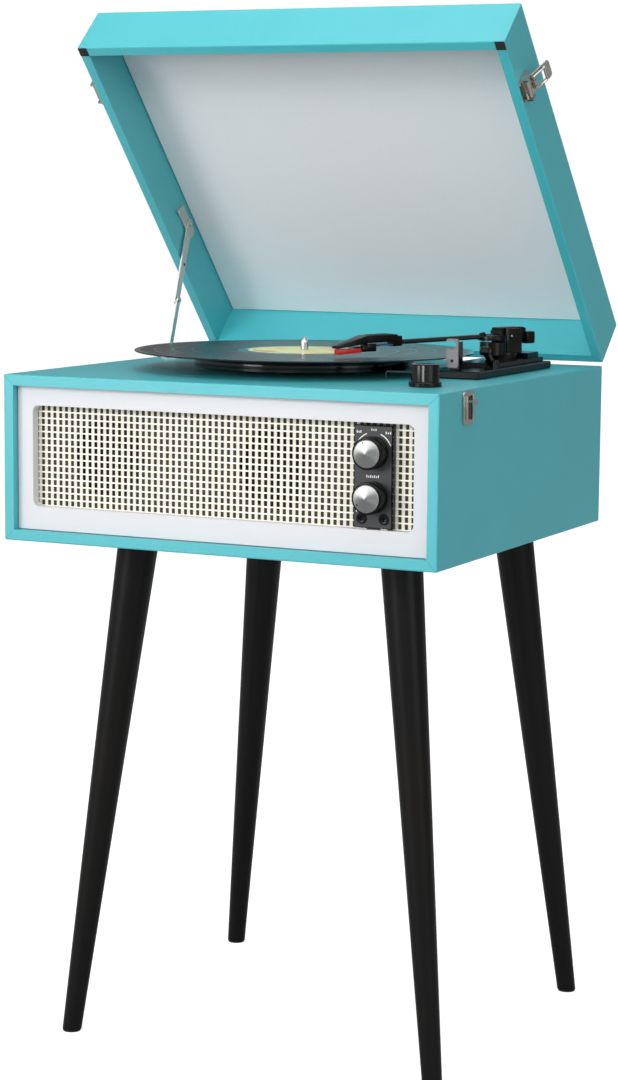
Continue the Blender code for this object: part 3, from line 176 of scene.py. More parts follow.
paper, paper_tree, paper_shader = start_material("seamless_paper", Roughness=0.9)
paper_shader.inputs["Specular IOR Level"].default_value = 0.1
paper_shader.inputs["Emission Color"].default_value = (1, 1, 1, 1)
straight = add_node(paper_tree, "ShaderNodeLightPath")
lifted = calculate(paper_tree, "MULTIPLY", straight.outputs["Is Camera Ray"], FLOOR_GLOW)
paper_tree.links.new(lifted, paper_shader.inputs["Emission Strength"])
fibre = add_node(paper_tree, "ShaderNodeTexNoise", {"Scale": 3.0, "Detail": 2.0})
paper_tone = add_node(
    paper_tree,
    "ShaderNodeMix",
    {0: fibre.outputs["Fac"], 6: linear_colour("C9CACB"), 7: linear_colour("CDCDCE")},
    data_type="RGBA",
)
paper_tree.links.new(paper_tone.outputs[2], paper_shader.inputs["Base Color"])
floor_shape = bmesh.new()
bmesh.ops.create_circle(floor_shape, cap_ends=True, radius=FLOOR_RADIUS, segments=96)
floor_mesh = bpy.data.meshes.new("floor")
floor_shape.to_mesh(floor_mesh)
floor_shape.free()
floor_mesh.materials.append(paper)
floor = bpy.data.objects.new("floor", floor_mesh)
floor.location.z = -0.0002
bpy.context.scene.collection.objects.link(floor)

# ---------------------------------------------------------------- case and lid: leatherette
# Board wrapped in turquoise leatherette: vinyl on a backing cloth, embossed with a fine grain.
# The solids already have the wrap's soft edges, so they are painted as they stand.
GRAIN_MM = 1.5  # the real grain is about 0.6 mm; it is drawn coarser, or it would not show
WRAP_COLOUR = "49B6BF"
WRAP_DEEP = "43AFB8"


def noise_on_object(tree, cell_mm, detail=2.0, stretch=(1, 1, 1)):
    """Noise with cells of a real size, stretched along the axes of the object."""
    place = add_node(tree, "ShaderNodeTexCoord")
    mapped = add_node(
        tree, "ShaderNodeMapping", {"Vector": place.outputs["Object"], "Scale": stretch}
    )
    return add_node(
        tree,
        "ShaderNodeTexNoise",
        {"Vector": mapped.outputs["Vector"], "Scale": 1000 / cell_mm, "Detail": detail},
    ).outputs["Fac"]


def mix_colours(tree, share, first, second):
    """A blend of two colours given as sockets or as hex values."""
    ends = [c if isinstance(c, bpy.types.NodeSocket) else linear_colour(c) for c in (first, second)]
    return add_node(
        tree, "ShaderNodeMix", {0: share, 6: ends[0], 7: ends[1]}, data_type="RGBA"
    ).outputs[2]


def raise_surface(tree, shader, height, strength, distance_mm):
    """Feeds a height into the shader as bump."""
    bump = add_node(
        tree,
        "ShaderNodeBump",
        {"Height": height, "Strength": strength, "Distance": distance_mm / 1000},
    )
    tree.links.new(bump.outputs["Normal"], shader.inputs["Normal"])


def colour_by(tree, shader, share, first, second):
    """Gives the shader a blend of two colours as its base colour."""
    tree.links.new(mix_colours(tree, share, first, second), shader.inputs["Base Color"])


leatherette, tree, shader = start_material("embossed_vinyl_leatherette", Roughness=0.36)
shader.inputs["Specular IOR Level"].default_value = 0.75
place = add_node(tree, "ShaderNodeTexCoord")
pebbles = add_node(
    tree,
    "ShaderNodeTexVoronoi",
    {"Vector": place.outputs["Object"], "Scale": 1000 / GRAIN_MM, "Randomness": 0.9},
    feature="SMOOTH_F1",
)
creases = noise_on_object(tree, 0.9 * GRAIN_MM, 3.0, (0.35, 1.0, 1.0))
relief = calculate(tree, "ADD", pebbles.outputs["Distance"], creases)
drift = noise_on_object(tree, 60, 2.0)
colour_by(tree, shader, drift, WRAP_DEEP, WRAP_COLOUR)
raise_surface(tree, shader, relief, 0.35, 0.22)


def paint(node_name, material):
    """Gives a CAD node its finish."""
    mesh = frame["nodes"][node_name].data
    mesh.materials.clear()
    mesh.materials.append(material)


for wrapped in ("case_shell", "lid_shell"):
    paint(wrapped, leatherette)

# ---------------------------------------------------------------- lid: lining and bumpers
# The lid is lined with a sheet of pale grey embossed paper-backed vinyl. Two black rubber
# bumpers sit in the front corners of its rim.
lining, tree, shader = start_material("embossed_lining_paper", Roughness=0.72)
speckle = noise_on_object(tree, 1.3, 3.0)
cloud = noise_on_object(tree, 45, 2.0)
tone = mix_colours(tree, cloud, "E9EAEC", "EDEEF0")
colour_by(tree, shader, speckle, "E2E3E5", tone)
raise_surface(tree, shader, speckle, 0.35, 0.15)
paint("lid_lining", lining)

joints = {joint["name"]: joint for joint in frame["joints"]}
LID_OPEN = math.radians(-joints["lid_hinge"]["range_deg"][0])
LID_AXIS = Vector(joints["lid_hinge"]["pos_m"])
LID_PLACE = Matrix.Translation(LID_AXIS) @ Matrix.Rotation(-LID_OPEN, 4, "X")
HALF_WIDTH = case_high.x
CASE_DEPTH = case_high.y - case_low.y
HINGE_OUT = LID_AXIS.y - case_high.y
LID_RIM = 0.0005  # above the hinge's axis, with the lid shut


def add_part(shape, part, place=None):
    """Adds one finished part to a shape, in its place."""
    if place:
        bmesh.ops.transform(part, matrix=place, verts=part.verts)
    working = bpy.data.meshes.new("working")
    part.to_mesh(working)
    part.free()
    shape.from_mesh(working)
    bpy.data.meshes.remove(working)


def round_edges(part, edges, width, steps=2):
    """Rounds edges of a part."""
    bmesh.ops.bevel(
        part,
        geom=list(edges),
        offset=width,
        segments=steps,
        profile=0.5,
        affect="EDGES",
        material=-1,
    )


def add_block(shape, low, high, edge=0.0, steps=2, place=None):
    """Adds a box between two corners, with rounded edges, to a shape."""
    part = bmesh.new()
    bmesh.ops.create_cube(part, size=1.0)
    low, high = Vector(low), Vector(high)
    bmesh.ops.scale(part, vec=high - low, verts=part.verts)
    bmesh.ops.translate(part, vec=(low + high) / 2, verts=part.verts)
    if edge:
        round_edges(part, part.edges, edge, steps)
    add_part(shape, part, place)


def finish_piece(name, shape, material, body, replaces=(), place=None, crease=32):
    """Makes a finished piece of a shape, painted and riding on a CAD body."""
    if place:
        bmesh.ops.transform(shape, matrix=place, verts=shape.verts)
    bmesh.ops.recalc_face_normals(shape, faces=shape.faces)
    mesh = bpy.data.meshes.new(name)
    shape.to_mesh(mesh)
    shape.free()
    mesh.materials.append(material)
    mesh.shade_smooth()
    mesh.set_sharp_from_angle(angle=math.radians(crease))
    made = bpy.data.objects.new(name, mesh)
    bpy.context.scene.collection.objects.link(made)
    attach(made, body)
    if replaces:
        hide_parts(*replaces)
    return made


rubber, tree, shader = start_material("moulded_rubber", Roughness=0.75)
bloom = noise_on_object(tree, 4, 3.0)
colour_by(tree, shader, bloom, "141414", "1F1F20")
raise_surface(tree, shader, bloom, 0.15, 0.1)

BUMPER = 0.0088
BUMPER_THICK = 0.0014
rim_front = -CASE_DEPTH - HINGE_OUT
bumpers = bmesh.new()
for side in (-1, 1):
    outer = side * (HALF_WIDTH - 0.0004)
    inner = side * (HALF_WIDTH - BUMPER - 0.0004)
    add_block(
        bumpers,
        (min(inner, outer), rim_front + 0.0004, LID_RIM - BUMPER_THICK + 0.0009),
        (max(inner, outer), rim_front + 0.0004 + BUMPER, LID_RIM + 0.0002),
        0.0004,
    )
finish_piece("lid_bumpers", bumpers, rubber, "lid", place=LID_PLACE)

# ---------------------------------------------------------------- front panel and grille
# A white lacquered panel stands back inside the rim. Behind its opening is an open weave of cream
# paper cord: flat uprights with thinner, brighter cords laid across in front of them.
WEAVE_PITCH = 0.0058
UPRIGHT = (0.0029, 0.00028)  # width and thickness
CROSS = (0.00135, 0.00034)

lacquer, tree, shader = start_material("white_satin_lacquer", Roughness=0.42)
orange_peel = noise_on_object(tree, 2.5, 2.0)
patch = noise_on_object(tree, 80, 1.0)
colour_by(tree, shader, patch, "D5D5D8", "D9D9DB")
raise_surface(tree, shader, orange_peel, 0.12, 0.08)
paint("front_panel", lacquer)

paper_cord, tree, shader = start_material("twisted_paper_cord", Roughness=0.7)
twist = noise_on_object(tree, 1.2, 3.0, (1.0, 1.0, 0.5))
length_tone = noise_on_object(tree, 14, 2.0)
tone = mix_colours(tree, length_tone, "EAE5D2", "F4F1E4")
colour_by(tree, shader, twist, "DDD7C2", tone)
raise_surface(tree, shader, twist, 0.4, 0.12)
shader.inputs["Sheen Weight"].default_value = 0.15

bright_cord, tree, shader = start_material("glazed_paper_cord", Roughness=0.5)
twist = noise_on_object(tree, 1.0, 3.0, (0.4, 1.0, 1.0))
colour_by(tree, shader, twist, "F3F0E6", "FDFCF7")
raise_surface(tree, shader, twist, 0.3, 0.1)

cloth_low, cloth_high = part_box("grille_cloth")
plate_low, plate_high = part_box("control_plate")
PANEL_OPENING = (0.357, 0.087)  # width and height
BEHIND_PANEL = 0.0035  # how far the cords run on behind the panel
grille_z = (cloth_low.z + cloth_high.z) / 2
half_wide = PANEL_OPENING[0] / 2 + BEHIND_PANEL
half_high = PANEL_OPENING[1] / 2 + BEHIND_PANEL
plate_gap = (plate_low.x + 0.003, plate_high.x - 0.003)
columns = [
    (number + 0.5) * WEAVE_PITCH
    for number in range(-32, 32)
    if abs((number + 0.5) * WEAVE_PITCH) < half_wide - UPRIGHT[0] / 2
]
rows = [
    grille_z + (number + 0.5) * WEAVE_PITCH
    for number in range(-9, 9)
    if abs((number + 0.5) * WEAVE_PITCH) < half_high - CROSS[0] / 2
]
columns = [x for x in columns if not plate_gap[0] < x < plate_gap[1]]


def add_cord(shape, start, end, width, thick, bend, waves):
    """A flat cord from start to end, with rounded edges, that bows forward once in each wave."""
    run = end - start
    part = bmesh.new()
    bmesh.ops.create_cone(
        part, cap_ends=True, segments=8, radius1=0.5, radius2=0.5, depth=run.length
    )
    long_edges = [
        edge
        for edge in part.edges
        if abs((edge.verts[0].co - edge.verts[1].co).z) > run.length / 2
    ]
    bmesh.ops.subdivide_edges(part, edges=long_edges, cuts=4 * waves - 1, use_grid_fill=True)
    bmesh.ops.scale(part, vec=(width, thick, 1), verts=part.verts)
    for vert in part.verts:
        share = (vert.co.z / run.length + 0.5) * waves
        vert.co.y -= bend * (0.5 - 0.5 * math.cos(2 * math.pi * share))
    turn = Matrix.Identity(4)
    if abs(run.x) > abs(run.z):
        turn = Matrix.Rotation(math.pi / 2, 4, "Y")
    add_part(shape, part, Matrix.Translation((start + end) / 2) @ turn)


upright_y = cloth_high.y - UPRIGHT[1] / 2 - 0.00004
cross_y = upright_y - UPRIGHT[1] / 2 - CROSS[1] / 2
uprights = bmesh.new()
for x in columns:
    add_cord(
        uprights,
        Vector((x, upright_y, rows[0] - WEAVE_PITCH / 2)),
        Vector((x, upright_y, rows[-1] + WEAVE_PITCH / 2)),
        *UPRIGHT,
        0.00003,
        len(rows),
    )
finish_piece(
    "grille_uprights", uprights, paper_cord, "case", ("grille_cloth",), crease=60
)
crosses = bmesh.new()
for z in rows:
    for stretch in (
        [x for x in columns if x < plate_gap[0]],
        [x for x in columns if x > plate_gap[1]],
    ):
        add_cord(
            crosses,
            Vector((stretch[0] - WEAVE_PITCH / 2, cross_y, z)),
            Vector((stretch[-1] + WEAVE_PITCH / 2, cross_y, z)),
            *CROSS,
            0.00012,
            len(stretch),
        )
finish_piece("grille_crosses", crosses, bright_cord, "case", crease=60)

# The baffle behind the weave is covered in a scrim with a pale thread in it; the dark stripe beside
# each thread is painted shadow, as cast by the uprights in front.
scrim, tree, shader = start_material("scrim_with_painted_shadows", Roughness=0.85)
place = add_node(tree, "ShaderNodeTexCoord")
apart = add_node(tree, "ShaderNodeSeparateXYZ", {"Vector": place.outputs["Object"]})
THREAD_SHIFT = 0.68 * WEAVE_PITCH
shifted = calculate(tree, "ADD", apart.outputs["X"], 1.0 - THREAD_SHIFT)
beat = calculate(tree, "FLOORED_MODULO", shifted, WEAVE_PITCH)
thread = calculate(tree, "LESS_THAN", beat, 0.42 * WEAVE_PITCH)
# The dark colour is painted shadow of the uprights; the pale one is the thread.
colour_by(tree, shader, thread, "3A352F", "A19A8C")
fuzz = noise_on_object(tree, 0.8, 2.0)
raise_surface(tree, shader, fuzz, 0.4, 0.2)
paint("baffle_board", scrim)

# ---------------------------------------------------------------- control plate, knobs and jacks
# A moulded plate with printed marks carries two knobs, each a black skirt with a spun aluminium
# cap, and two 3.5 mm jacks. The marks are plain arcs, ticks and ramps.
KNOB_STEPS = 72


def spotted_plastic(name, dark, light, roughness, spot_mm=1.2, depth_mm=0.04, strength=0.15):
    """Moulded ABS: nearly one colour, with the fine unevenness of its mould."""
    made, tree, shader = start_material(name, Roughness=roughness)
    spots = noise_on_object(tree, spot_mm, 3.0)
    colour_by(tree, shader, spots, dark, light)
    raise_surface(tree, shader, spots, strength, depth_mm)
    return made


plate_plastic = spotted_plastic("satin_moulded_abs", "2C2D2F", "353639", 0.34)
gloss_black = spotted_plastic("gloss_black_abs", "070708", "0C0C0D", 0.14)
satin_black = spotted_plastic("satin_black_abs", "09090A", "0F0F10", 0.24, 0.9, 0.06, 0.3)
for black, level in ((gloss_black, 0.28), (satin_black, 0.16)):
    black.node_tree.nodes["Principled BSDF"].inputs["Specular IOR Level"].default_value = level
paint("control_plate", plate_plastic)

printed_white, tree, shader = start_material("screen_printed_ink", Roughness=0.5)
grit = noise_on_object(tree, 0.5, 2.0)
colour_by(tree, shader, grit, "E4E4E2", "F4F4F2")

spun_aluminium, tree, shader = start_material("spun_aluminium", Metallic=1.0, Roughness=0.34)
# The lathe's rings spread a highlight into a wedge.
shader.inputs["Anisotropic"].default_value = 0.85
round_axis = add_node(tree, "ShaderNodeTangent", direction_type="RADIAL", axis="Y")
tree.links.new(round_axis.outputs[0], shader.inputs["Tangent"])
rings = noise_on_object(tree, 0.7, 3.0)
colour_by(tree, shader, rings, "868786", "969795")
raise_surface(tree, shader, rings, 0.12, 0.03)

nickel, tree, shader = start_material("bright_nickel_plate", Metallic=1.0, Roughness=0.17)
haze = noise_on_object(tree, 6, 3.0)
colour_by(tree, shader, haze, "BDB7AE", "CFCAC2")
worn = add_node(
    tree,
    "ShaderNodeMapRange",
    {"Value": haze, "To Min": 0.12, "To Max": 0.26},
)
tree.links.new(worn.outputs["Result"], shader.inputs["Roughness"])
raise_surface(tree, shader, haze, 0.08, 0.06)

stay_steel, tree, shader = start_material("dull_nickel_steel", Metallic=1.0, Roughness=0.42)
haze = noise_on_object(tree, 8, 3.0, (1, 1, 0.3))
colour_by(tree, shader, haze, "C6C3BE", "DAD8D4")
raise_surface(tree, shader, haze, 0.08, 0.05)

# Nickel painted dark, as painted shade: for the hollows of the catch pressings and the stay's small
# stop rivet.
shaded_nickel, tree, shader = start_material("painted_shade_nickel", Metallic=1.0, Roughness=0.22)
shade_mottle = noise_on_object(tree, 3, 3.0)
colour_by(tree, shader, shade_mottle, "2E2A26", "5A534B")
raise_surface(tree, shader, shade_mottle, 0.1, 0.05)


def add_turned(shape, profile, steps, place=None, ring=False):
    """Spins a profile of (radius, height) pairs about Z. A ring's profile closes on itself."""
    part = bmesh.new()
    corners = [part.verts.new((radius, 0, height)) for radius, height in profile]
    lines = [part.edges.new(pair) for pair in zip(corners, corners[1:])]
    if ring:
        lines.append(part.edges.new((corners[-1], corners[0])))
    bmesh.ops.spin(
        part,
        geom=corners + lines,
        cent=(0, 0, 0),
        axis=(0, 0, 1),
        angle=2 * math.pi,
        steps=steps,
        use_merge=True,
        use_duplicate=False,
    )
    bmesh.ops.remove_doubles(part, verts=part.verts, dist=1e-6)
    add_part(shape, part, place)


def faces_front(x, y, z):
    """A place whose +Z looks out of the front."""
    return Matrix.Translation((x, y, z)) @ Matrix.Rotation(math.pi / 2, 4, "X")


SKIRT_RADIUS = 0.0134
SKIRT_DEPTH = 0.0125
CAP_RADIUS = 0.0115
CAP_RISE = 0.0040
plate_face = plate_low.y
mark_y = plate_face - 0.00006
marks = bmesh.new()


def add_mark(low, high):
    """A printed bar on the plate, given by its X and Z."""
    add_block(marks, (low[0], mark_y, low[1]), (high[0], plate_face + 0.00002, high[1]))


def add_arc(centre, radius, width, first_deg, last_deg):
    """A printed arc round a knob. Angles run from straight up, to the right."""
    steps = 14
    part = bmesh.new()
    sections = []
    for step in range(steps + 1):
        turn = math.radians(first_deg + (last_deg - first_deg) * step / steps)
        across, up = math.sin(turn), math.cos(turn)
        sections.append(
            [
                part.verts.new((centre[0] + reach * across, y, centre[1] + reach * up))
                for reach, y in (
                    (radius - width / 2, mark_y),
                    (radius + width / 2, mark_y),
                    (radius + width / 2, plate_face + 0.00002),
                    (radius - width / 2, plate_face + 0.00002),
                )
            ]
        )
    for first, second in zip(sections, sections[1:]):
        for here in range(4):
            after = (here + 1) % 4
            part.faces.new((first[here], first[after], second[after], second[here]))
    part.faces.new(sections[0])
    part.faces.new(sections[-1])
    add_part(marks, part)


for name, cap_dot_deg in (("function_knob", -20), ("volume_knob", -125)):
    low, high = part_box(name)
    x, z = (low.x + high.x) / 2, (low.z + high.z) / 2
    back = plate_face - 0.0003
    where = faces_front(x, back, z)
    skirt = bmesh.new()
    shaft_end = -(high.y - back)
    add_turned(
        skirt,
        (
            (0, SKIRT_DEPTH - 0.0004),
            (CAP_RADIUS + 0.0003, SKIRT_DEPTH - 0.0004),
            (CAP_RADIUS + 0.0005, SKIRT_DEPTH + 0.0002),
            (SKIRT_RADIUS - 0.0008, SKIRT_DEPTH + 0.0002),
            (SKIRT_RADIUS - 0.0002, SKIRT_DEPTH - 0.0001),
            (SKIRT_RADIUS, SKIRT_DEPTH - 0.0007),
            (SKIRT_RADIUS, 0.0006),
            (SKIRT_RADIUS - 0.0004, 0),
            (0.0029, 0),
            (0.0029, shaft_end),
            (0, shaft_end),
        ),
        KNOB_STEPS,
        where,
    )
    finish_piece(name + "_skirt", skirt, satin_black, name, (name,))
    cap = bmesh.new()
    add_turned(
        cap,
        (
            (0, SKIRT_DEPTH + CAP_RISE),
            (0.0009, SKIRT_DEPTH + CAP_RISE - 0.00015),
            (CAP_RADIUS - 0.0009, SKIRT_DEPTH + 0.0010),
            (CAP_RADIUS - 0.0005, SKIRT_DEPTH + 0.0010),
            (CAP_RADIUS - 0.0003, SKIRT_DEPTH + 0.0013),
            (CAP_RADIUS, SKIRT_DEPTH + 0.0011),
            (CAP_RADIUS, SKIRT_DEPTH - 0.0002),
            (0, SKIRT_DEPTH - 0.0002),
        ),
        KNOB_STEPS,
        where,
    )
    finish_piece(name + "_cap", cap, spun_aluminium, name, crease=25)
    dot = bmesh.new()
    dot_turn = Matrix.Rotation(math.radians(-cap_dot_deg), 4, "Z")
    add_turned(
        dot,
        ((0, SKIRT_DEPTH + 0.0020), (0.0006, SKIRT_DEPTH + 0.0020), (0.0006, SKIRT_DEPTH + 0.0010),
         (0, SKIRT_DEPTH + 0.0010)),
        16,
        where @ dot_turn @ Matrix.Translation((0, CAP_RADIUS - 0.0022, -0.0002)),
    )
    finish_piece(name + "_dot", dot, satin_black, name)

knob_x = (plate_low.x + plate_high.x) / 2
function_z = sum(corner.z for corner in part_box("function_knob")) / 2
volume_z = sum(corner.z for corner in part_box("volume_knob")) / 2
add_arc((knob_x, function_z), 0.0162, 0.00085, -58, -22)
add_arc((knob_x, function_z), 0.0162, 0.00085, 22, 68)


def add_ticks(middle_x, low_z, count, pitch, tall, width=0.00085):
    """A row of printed ticks, every second one shorter."""
    for number in range(count):
        left = middle_x + (number - (count - 1) / 2) * pitch - width / 2
        add_mark((left, low_z), (left + width, low_z + tall * (1 if number % 2 == 0 else 0.72)))


add_ticks(knob_x + 0.0002, function_z + 0.0176, 3, 0.0018, 0.0017)
add_ticks(knob_x - 0.0130, function_z + 0.0154, 3, 0.0016, 0.0021)
add_ticks(knob_x + 0.0130, function_z + 0.0154, 3, 0.0019, 0.0019)
add_ticks(knob_x - 0.0005, volume_z + 0.0158, 7, 0.0017, 0.0021)
add_ticks(knob_x - 0.0130, volume_z - 0.0126, 3, 0.0017, 0.0019)

# Gloss black strips over the plate's sides and edges are painted shade, darkening them where they
# fall in shadow.
plate_shade_edging = bmesh.new()
EDGE = 0.0009
LAP = 0.0001  # how far the edging laps over the plate
left, right = plate_low.x, plate_high.x
under, over = plate_low.z - LAP, plate_high.z + LAP
for low, high in (
    ((left - LAP, under), (left + 0.4 * EDGE, over)),
    ((right - EDGE, under), (right + LAP, over)),
    ((left, plate_high.z - EDGE), (right, over)),
    ((left, under), (right, plate_low.z + 0.4 * EDGE)),
):
    add_block(
        plate_shade_edging,
        (low[0], plate_face - LAP, low[1]),
        (high[0], plate_face + 0.0050, high[1]),
        0.00006,
        1,
    )
finish_piece("plate_shade_edging", plate_shade_edging, gloss_black, "case")
for jack_name in ("headphone_jack", "aux_jack"):
    low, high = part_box(jack_name)
    x, z = (low.x + high.x) / 2, (low.z + high.z) / 2
    add_ticks(x, z - 0.0092, 6 if jack_name == "headphone_jack" else 4, 0.0016, 0.0020)
    jack = bmesh.new()
    depth = high.y - low.y - 0.0009
    add_turned(
        jack,
        ((0.0018, 0.0007), (0.0023, 0.0009), (0.0040, 0.0009), (0.0045, 0.0004), (0.0045, 0),
         (0.0036, 0), (0.0036, -depth), (0.0018, -depth)),
        48,
        faces_front(x, plate_face - 0.0003, z),
        ring=True,
    )
    finish_piece(jack_name + "_bush", jack, satin_black, "case", (jack_name,))
    throat = bmesh.new()
    add_turned(
        throat,
        ((0, -0.0050), (0.0017, -0.0050), (0.0017, -depth + 0.0002), (0, -depth + 0.0002)),
        24,
        faces_front(x, plate_face - 0.0003, z),
    )
    finish_piece(jack_name + "_contact", throat, nickel, "case")
finish_piece("plate_marks", marks, printed_white, "case")

# ---------------------------------------------------------------- inside and back of the case
# Plain pieces that show only from behind or through the slots.
board_green = spotted_plastic("solder_masked_board", "0F3D22", "16502D", 0.4, 3.0)
paper_cone = spotted_plastic("pressed_paper_cone", "1A1A1A", "242423", 0.9, 1.0, 0.2, 0.4)
turned_brass, tree, shader = start_material("turned_brass", Metallic=1.0, Roughness=0.28)
tool_marks = noise_on_object(tree, 0.6, 2.0, (0.2, 0.2, 1.0))
colour_by(tree, shader, tool_marks, "B08D4A", "C7A45D")
zinc_steel, tree, shader = start_material("zinc_plated_steel", Metallic=1.0, Roughness=0.34)
spangle = noise_on_object(tree, 5, 2.0)
colour_by(tree, shader, spangle, "9A9C9E", "B4B5B6")
raise_surface(tree, shader, spangle, 0.1, 0.05)
for name, material in {
    "amplifier_board": board_green,
    "speaker_left": paper_cone,
    "speaker_right": paper_cone,
    "platter_bearing": turned_brass,
    "motor_pulley": turned_brass,
    "motor": zinc_steel,
    "drive_belt": rubber,
    "back_panel": satin_black,
    "rear_sockets": satin_black,
    "leg_plate_front_left": zinc_steel,
    "leg_plate_front_right": zinc_steel,
    "leg_plate_back_left": zinc_steel,
    "leg_plate_back_right": zinc_steel,
}.items():
    paint(name, material)

# ---------------------------------------------------------------- platter and record
# A moulded black platter with a rubber mat, and on it a 301 mm record: pressed vinyl with a groove,
# a smooth run-out and a paper label. The spindle is a ground steel pin with a rounded tip.
GROOVE_PITCH = 0.0011  # a real groove is 0.1 mm; it is drawn as wide as it needs to show
GROOVES_FROM = 0.0600
GROOVES_TO = 0.1455
RUN_OUT_BAND = 0.0165
LABEL_RADIUS = 0.0500
record_low, record_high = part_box("record")
RECORD_X = (record_low.x + record_high.x) / 2
RECORD_Y = (record_low.y + record_high.y) / 2
RECORD_RADIUS = (record_high.x - record_low.x) / 2


def radius_on_object(tree):
    """The distance from the spindle's axis, in metres, on a piece that lies on the platter."""
    place = add_node(tree, "ShaderNodeTexCoord")
    from_axis = add_node(
        tree,
        "ShaderNodeVectorMath",
        {0: place.outputs["Object"], 1: (-RECORD_X, -RECORD_Y, 0)},
        operation="ADD",
    )
    flat = add_node(
        tree, "ShaderNodeVectorMath", {0: from_axis.outputs[0], 1: (1, 1, 0)}, operation="MULTIPLY"
    )
    return add_node(tree, "ShaderNodeVectorMath", {0: flat.outputs[0]}, operation="LENGTH").outputs[
        "Value"
    ]


vinyl, tree, shader = start_material("pressed_vinyl", Roughness=0.24)
shader.inputs["IOR"].default_value = 1.54
radius = radius_on_object(tree)
turns = calculate(tree, "MULTIPLY", radius, 2 * math.pi / GROOVE_PITCH)
wave = calculate(tree, "SINE", turns)
after_lead_out = calculate(tree, "GREATER_THAN", radius, GROOVES_FROM)
before_edge = calculate(tree, "LESS_THAN", radius, GROOVES_TO)
band = calculate(tree, "FLOORED_MODULO", radius, RUN_OUT_BAND)
in_band = calculate(tree, "GREATER_THAN", band, 0.0011)
grooved = calculate(tree, "MULTIPLY", after_lead_out, before_edge)
grooved = calculate(tree, "MULTIPLY", grooved, in_band)
cut_height = calculate(tree, "MULTIPLY", wave, grooved)
colour_by(tree, shader, grooved, "0A0A0B", "131315")
gloss = add_node(
    tree, "ShaderNodeMapRange", {"Value": grooved, "To Min": 0.12, "To Max": 0.30}
)
tree.links.new(gloss.outputs["Result"], shader.inputs["Roughness"])
raise_surface(tree, shader, cut_height, 0.25, 0.05)

record_top = record_high.z
record_under = record_low.z
on_platter = Matrix.Translation((RECORD_X, RECORD_Y, 0))
disc = bmesh.new()
BORE = 0.0037
add_turned(
    disc,
    (
        (BORE, record_top - 0.00022),
        (LABEL_RADIUS + 0.0006, record_top - 0.00022),
        (LABEL_RADIUS + 0.0010, record_top - 0.00012),
        (GROOVES_FROM - 0.0010, record_top - 0.00012),
        (GROOVES_FROM, record_top - 0.00020),
        (GROOVES_TO, record_top - 0.00020),
        (GROOVES_TO + 0.0012, record_top - 0.00004),
        (RECORD_RADIUS - 0.0011, record_top),
        (RECORD_RADIUS - 0.0004, record_top - 0.00016),
        (RECORD_RADIUS, record_top - 0.0006),
        (RECORD_RADIUS, record_under + 0.0006),
        (RECORD_RADIUS - 0.0004, record_under + 0.00016),
        (RECORD_RADIUS - 0.0011, record_under),
        (BORE, record_under),
    ),
    192,
    on_platter,
    ring=True,
)
finish_piece("record_disc", disc, vinyl, "platter", ("record",), crease=40)

label_paper, tree, shader = start_material("printed_label_paper", Roughness=0.55)
radius = radius_on_object(tree)
smudge = noise_on_object(tree, 22, 2.0)
tone = mix_colours(tree, smudge, "E6E8A6", "EFEBB4")
warm = noise_on_object(tree, 30, 1.0, (1.0, 1.6, 1.0))
warm_share = add_node(
    tree,
    "ShaderNodeMapRange",
    {"Value": warm, "From Min": 0.55, "From Max": 0.72},
)
tone = mix_colours(tree, warm_share.outputs["Result"], tone, "E0A878")
for inner, outer, colour in ((0.0160, 0.0168, "7D8F52"), (0.0440, 0.0448, "7D8F52")):
    past = calculate(tree, "GREATER_THAN", radius, inner)
    short = calculate(tree, "LESS_THAN", radius, outer)
    on_ring = calculate(tree, "MULTIPLY", past, short)
    colour_by(tree, shader, on_ring, tone, colour)
label = bmesh.new()
label_face, label_back = record_top - 0.00008, record_top - 0.0003
add_turned(
    label,
    ((BORE, label_face), (LABEL_RADIUS, label_face), (LABEL_RADIUS, label_back),
     (BORE, label_back)),
    96,
    on_platter,
    ring=True,
)
finish_piece("record_label", label, label_paper, "platter")

platter_low, platter_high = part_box("platter")
PLATTER_RADIUS = (platter_high.x - platter_low.x) / 2
dish = bmesh.new()
roof = platter_high.z - 0.002
ring_radius = 0.072
add_turned(
    dish,
    (
        (BORE, platter_high.z),
        (PLATTER_RADIUS - 0.0018, platter_high.z),
        (PLATTER_RADIUS - 0.0006, platter_high.z - 0.0005),
        (PLATTER_RADIUS, platter_high.z - 0.0017),
        (PLATTER_RADIUS, platter_high.z - 0.0062),
        (PLATTER_RADIUS - 0.0007, platter_high.z - 0.0066),
        (PLATTER_RADIUS - 0.0007, platter_high.z - 0.0072),
        (PLATTER_RADIUS, platter_high.z - 0.0076),
        (PLATTER_RADIUS, platter_low.z + 0.0004),
        (PLATTER_RADIUS - 0.0004, platter_low.z),
        (PLATTER_RADIUS - 0.002, platter_low.z),
        (PLATTER_RADIUS - 0.002, roof),
        (ring_radius, roof),
        (ring_radius, platter_low.z + 0.0004),
        (ring_radius - 0.0025, platter_low.z + 0.0004),
        (ring_radius - 0.0025, roof),
        (0.013, roof),
        (0.013, platter_low.z),
        (BORE, platter_low.z),
    ),
    160,
    on_platter,
    ring=True,
)
finish_piece("platter_dish", dish, gloss_black, "platter", ("platter",))

mat_low, mat_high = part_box("slipmat")
MAT_RADIUS = (mat_high.x - mat_low.x) / 2
mat = bmesh.new()
mat_profile = [(BORE, mat_high.z), (0.052, mat_high.z)]
for ring_number in range(6):
    start = 0.054 + ring_number * 0.0065
    mat_profile += [
        (start, mat_high.z - 0.0004),
        (start + 0.002, mat_high.z - 0.0004),
        (start + 0.0024, mat_high.z),
        (start + 0.0060, mat_high.z),
    ]
mat_profile += [
    (MAT_RADIUS - 0.0004, mat_high.z),
    (MAT_RADIUS, mat_high.z - 0.0004),
    (MAT_RADIUS, mat_low.z),
    (BORE, mat_low.z),
]
add_turned(mat, mat_profile, 128, on_platter, ring=True)
finish_piece("ribbed_mat", mat, rubber, "platter", ("slipmat",))

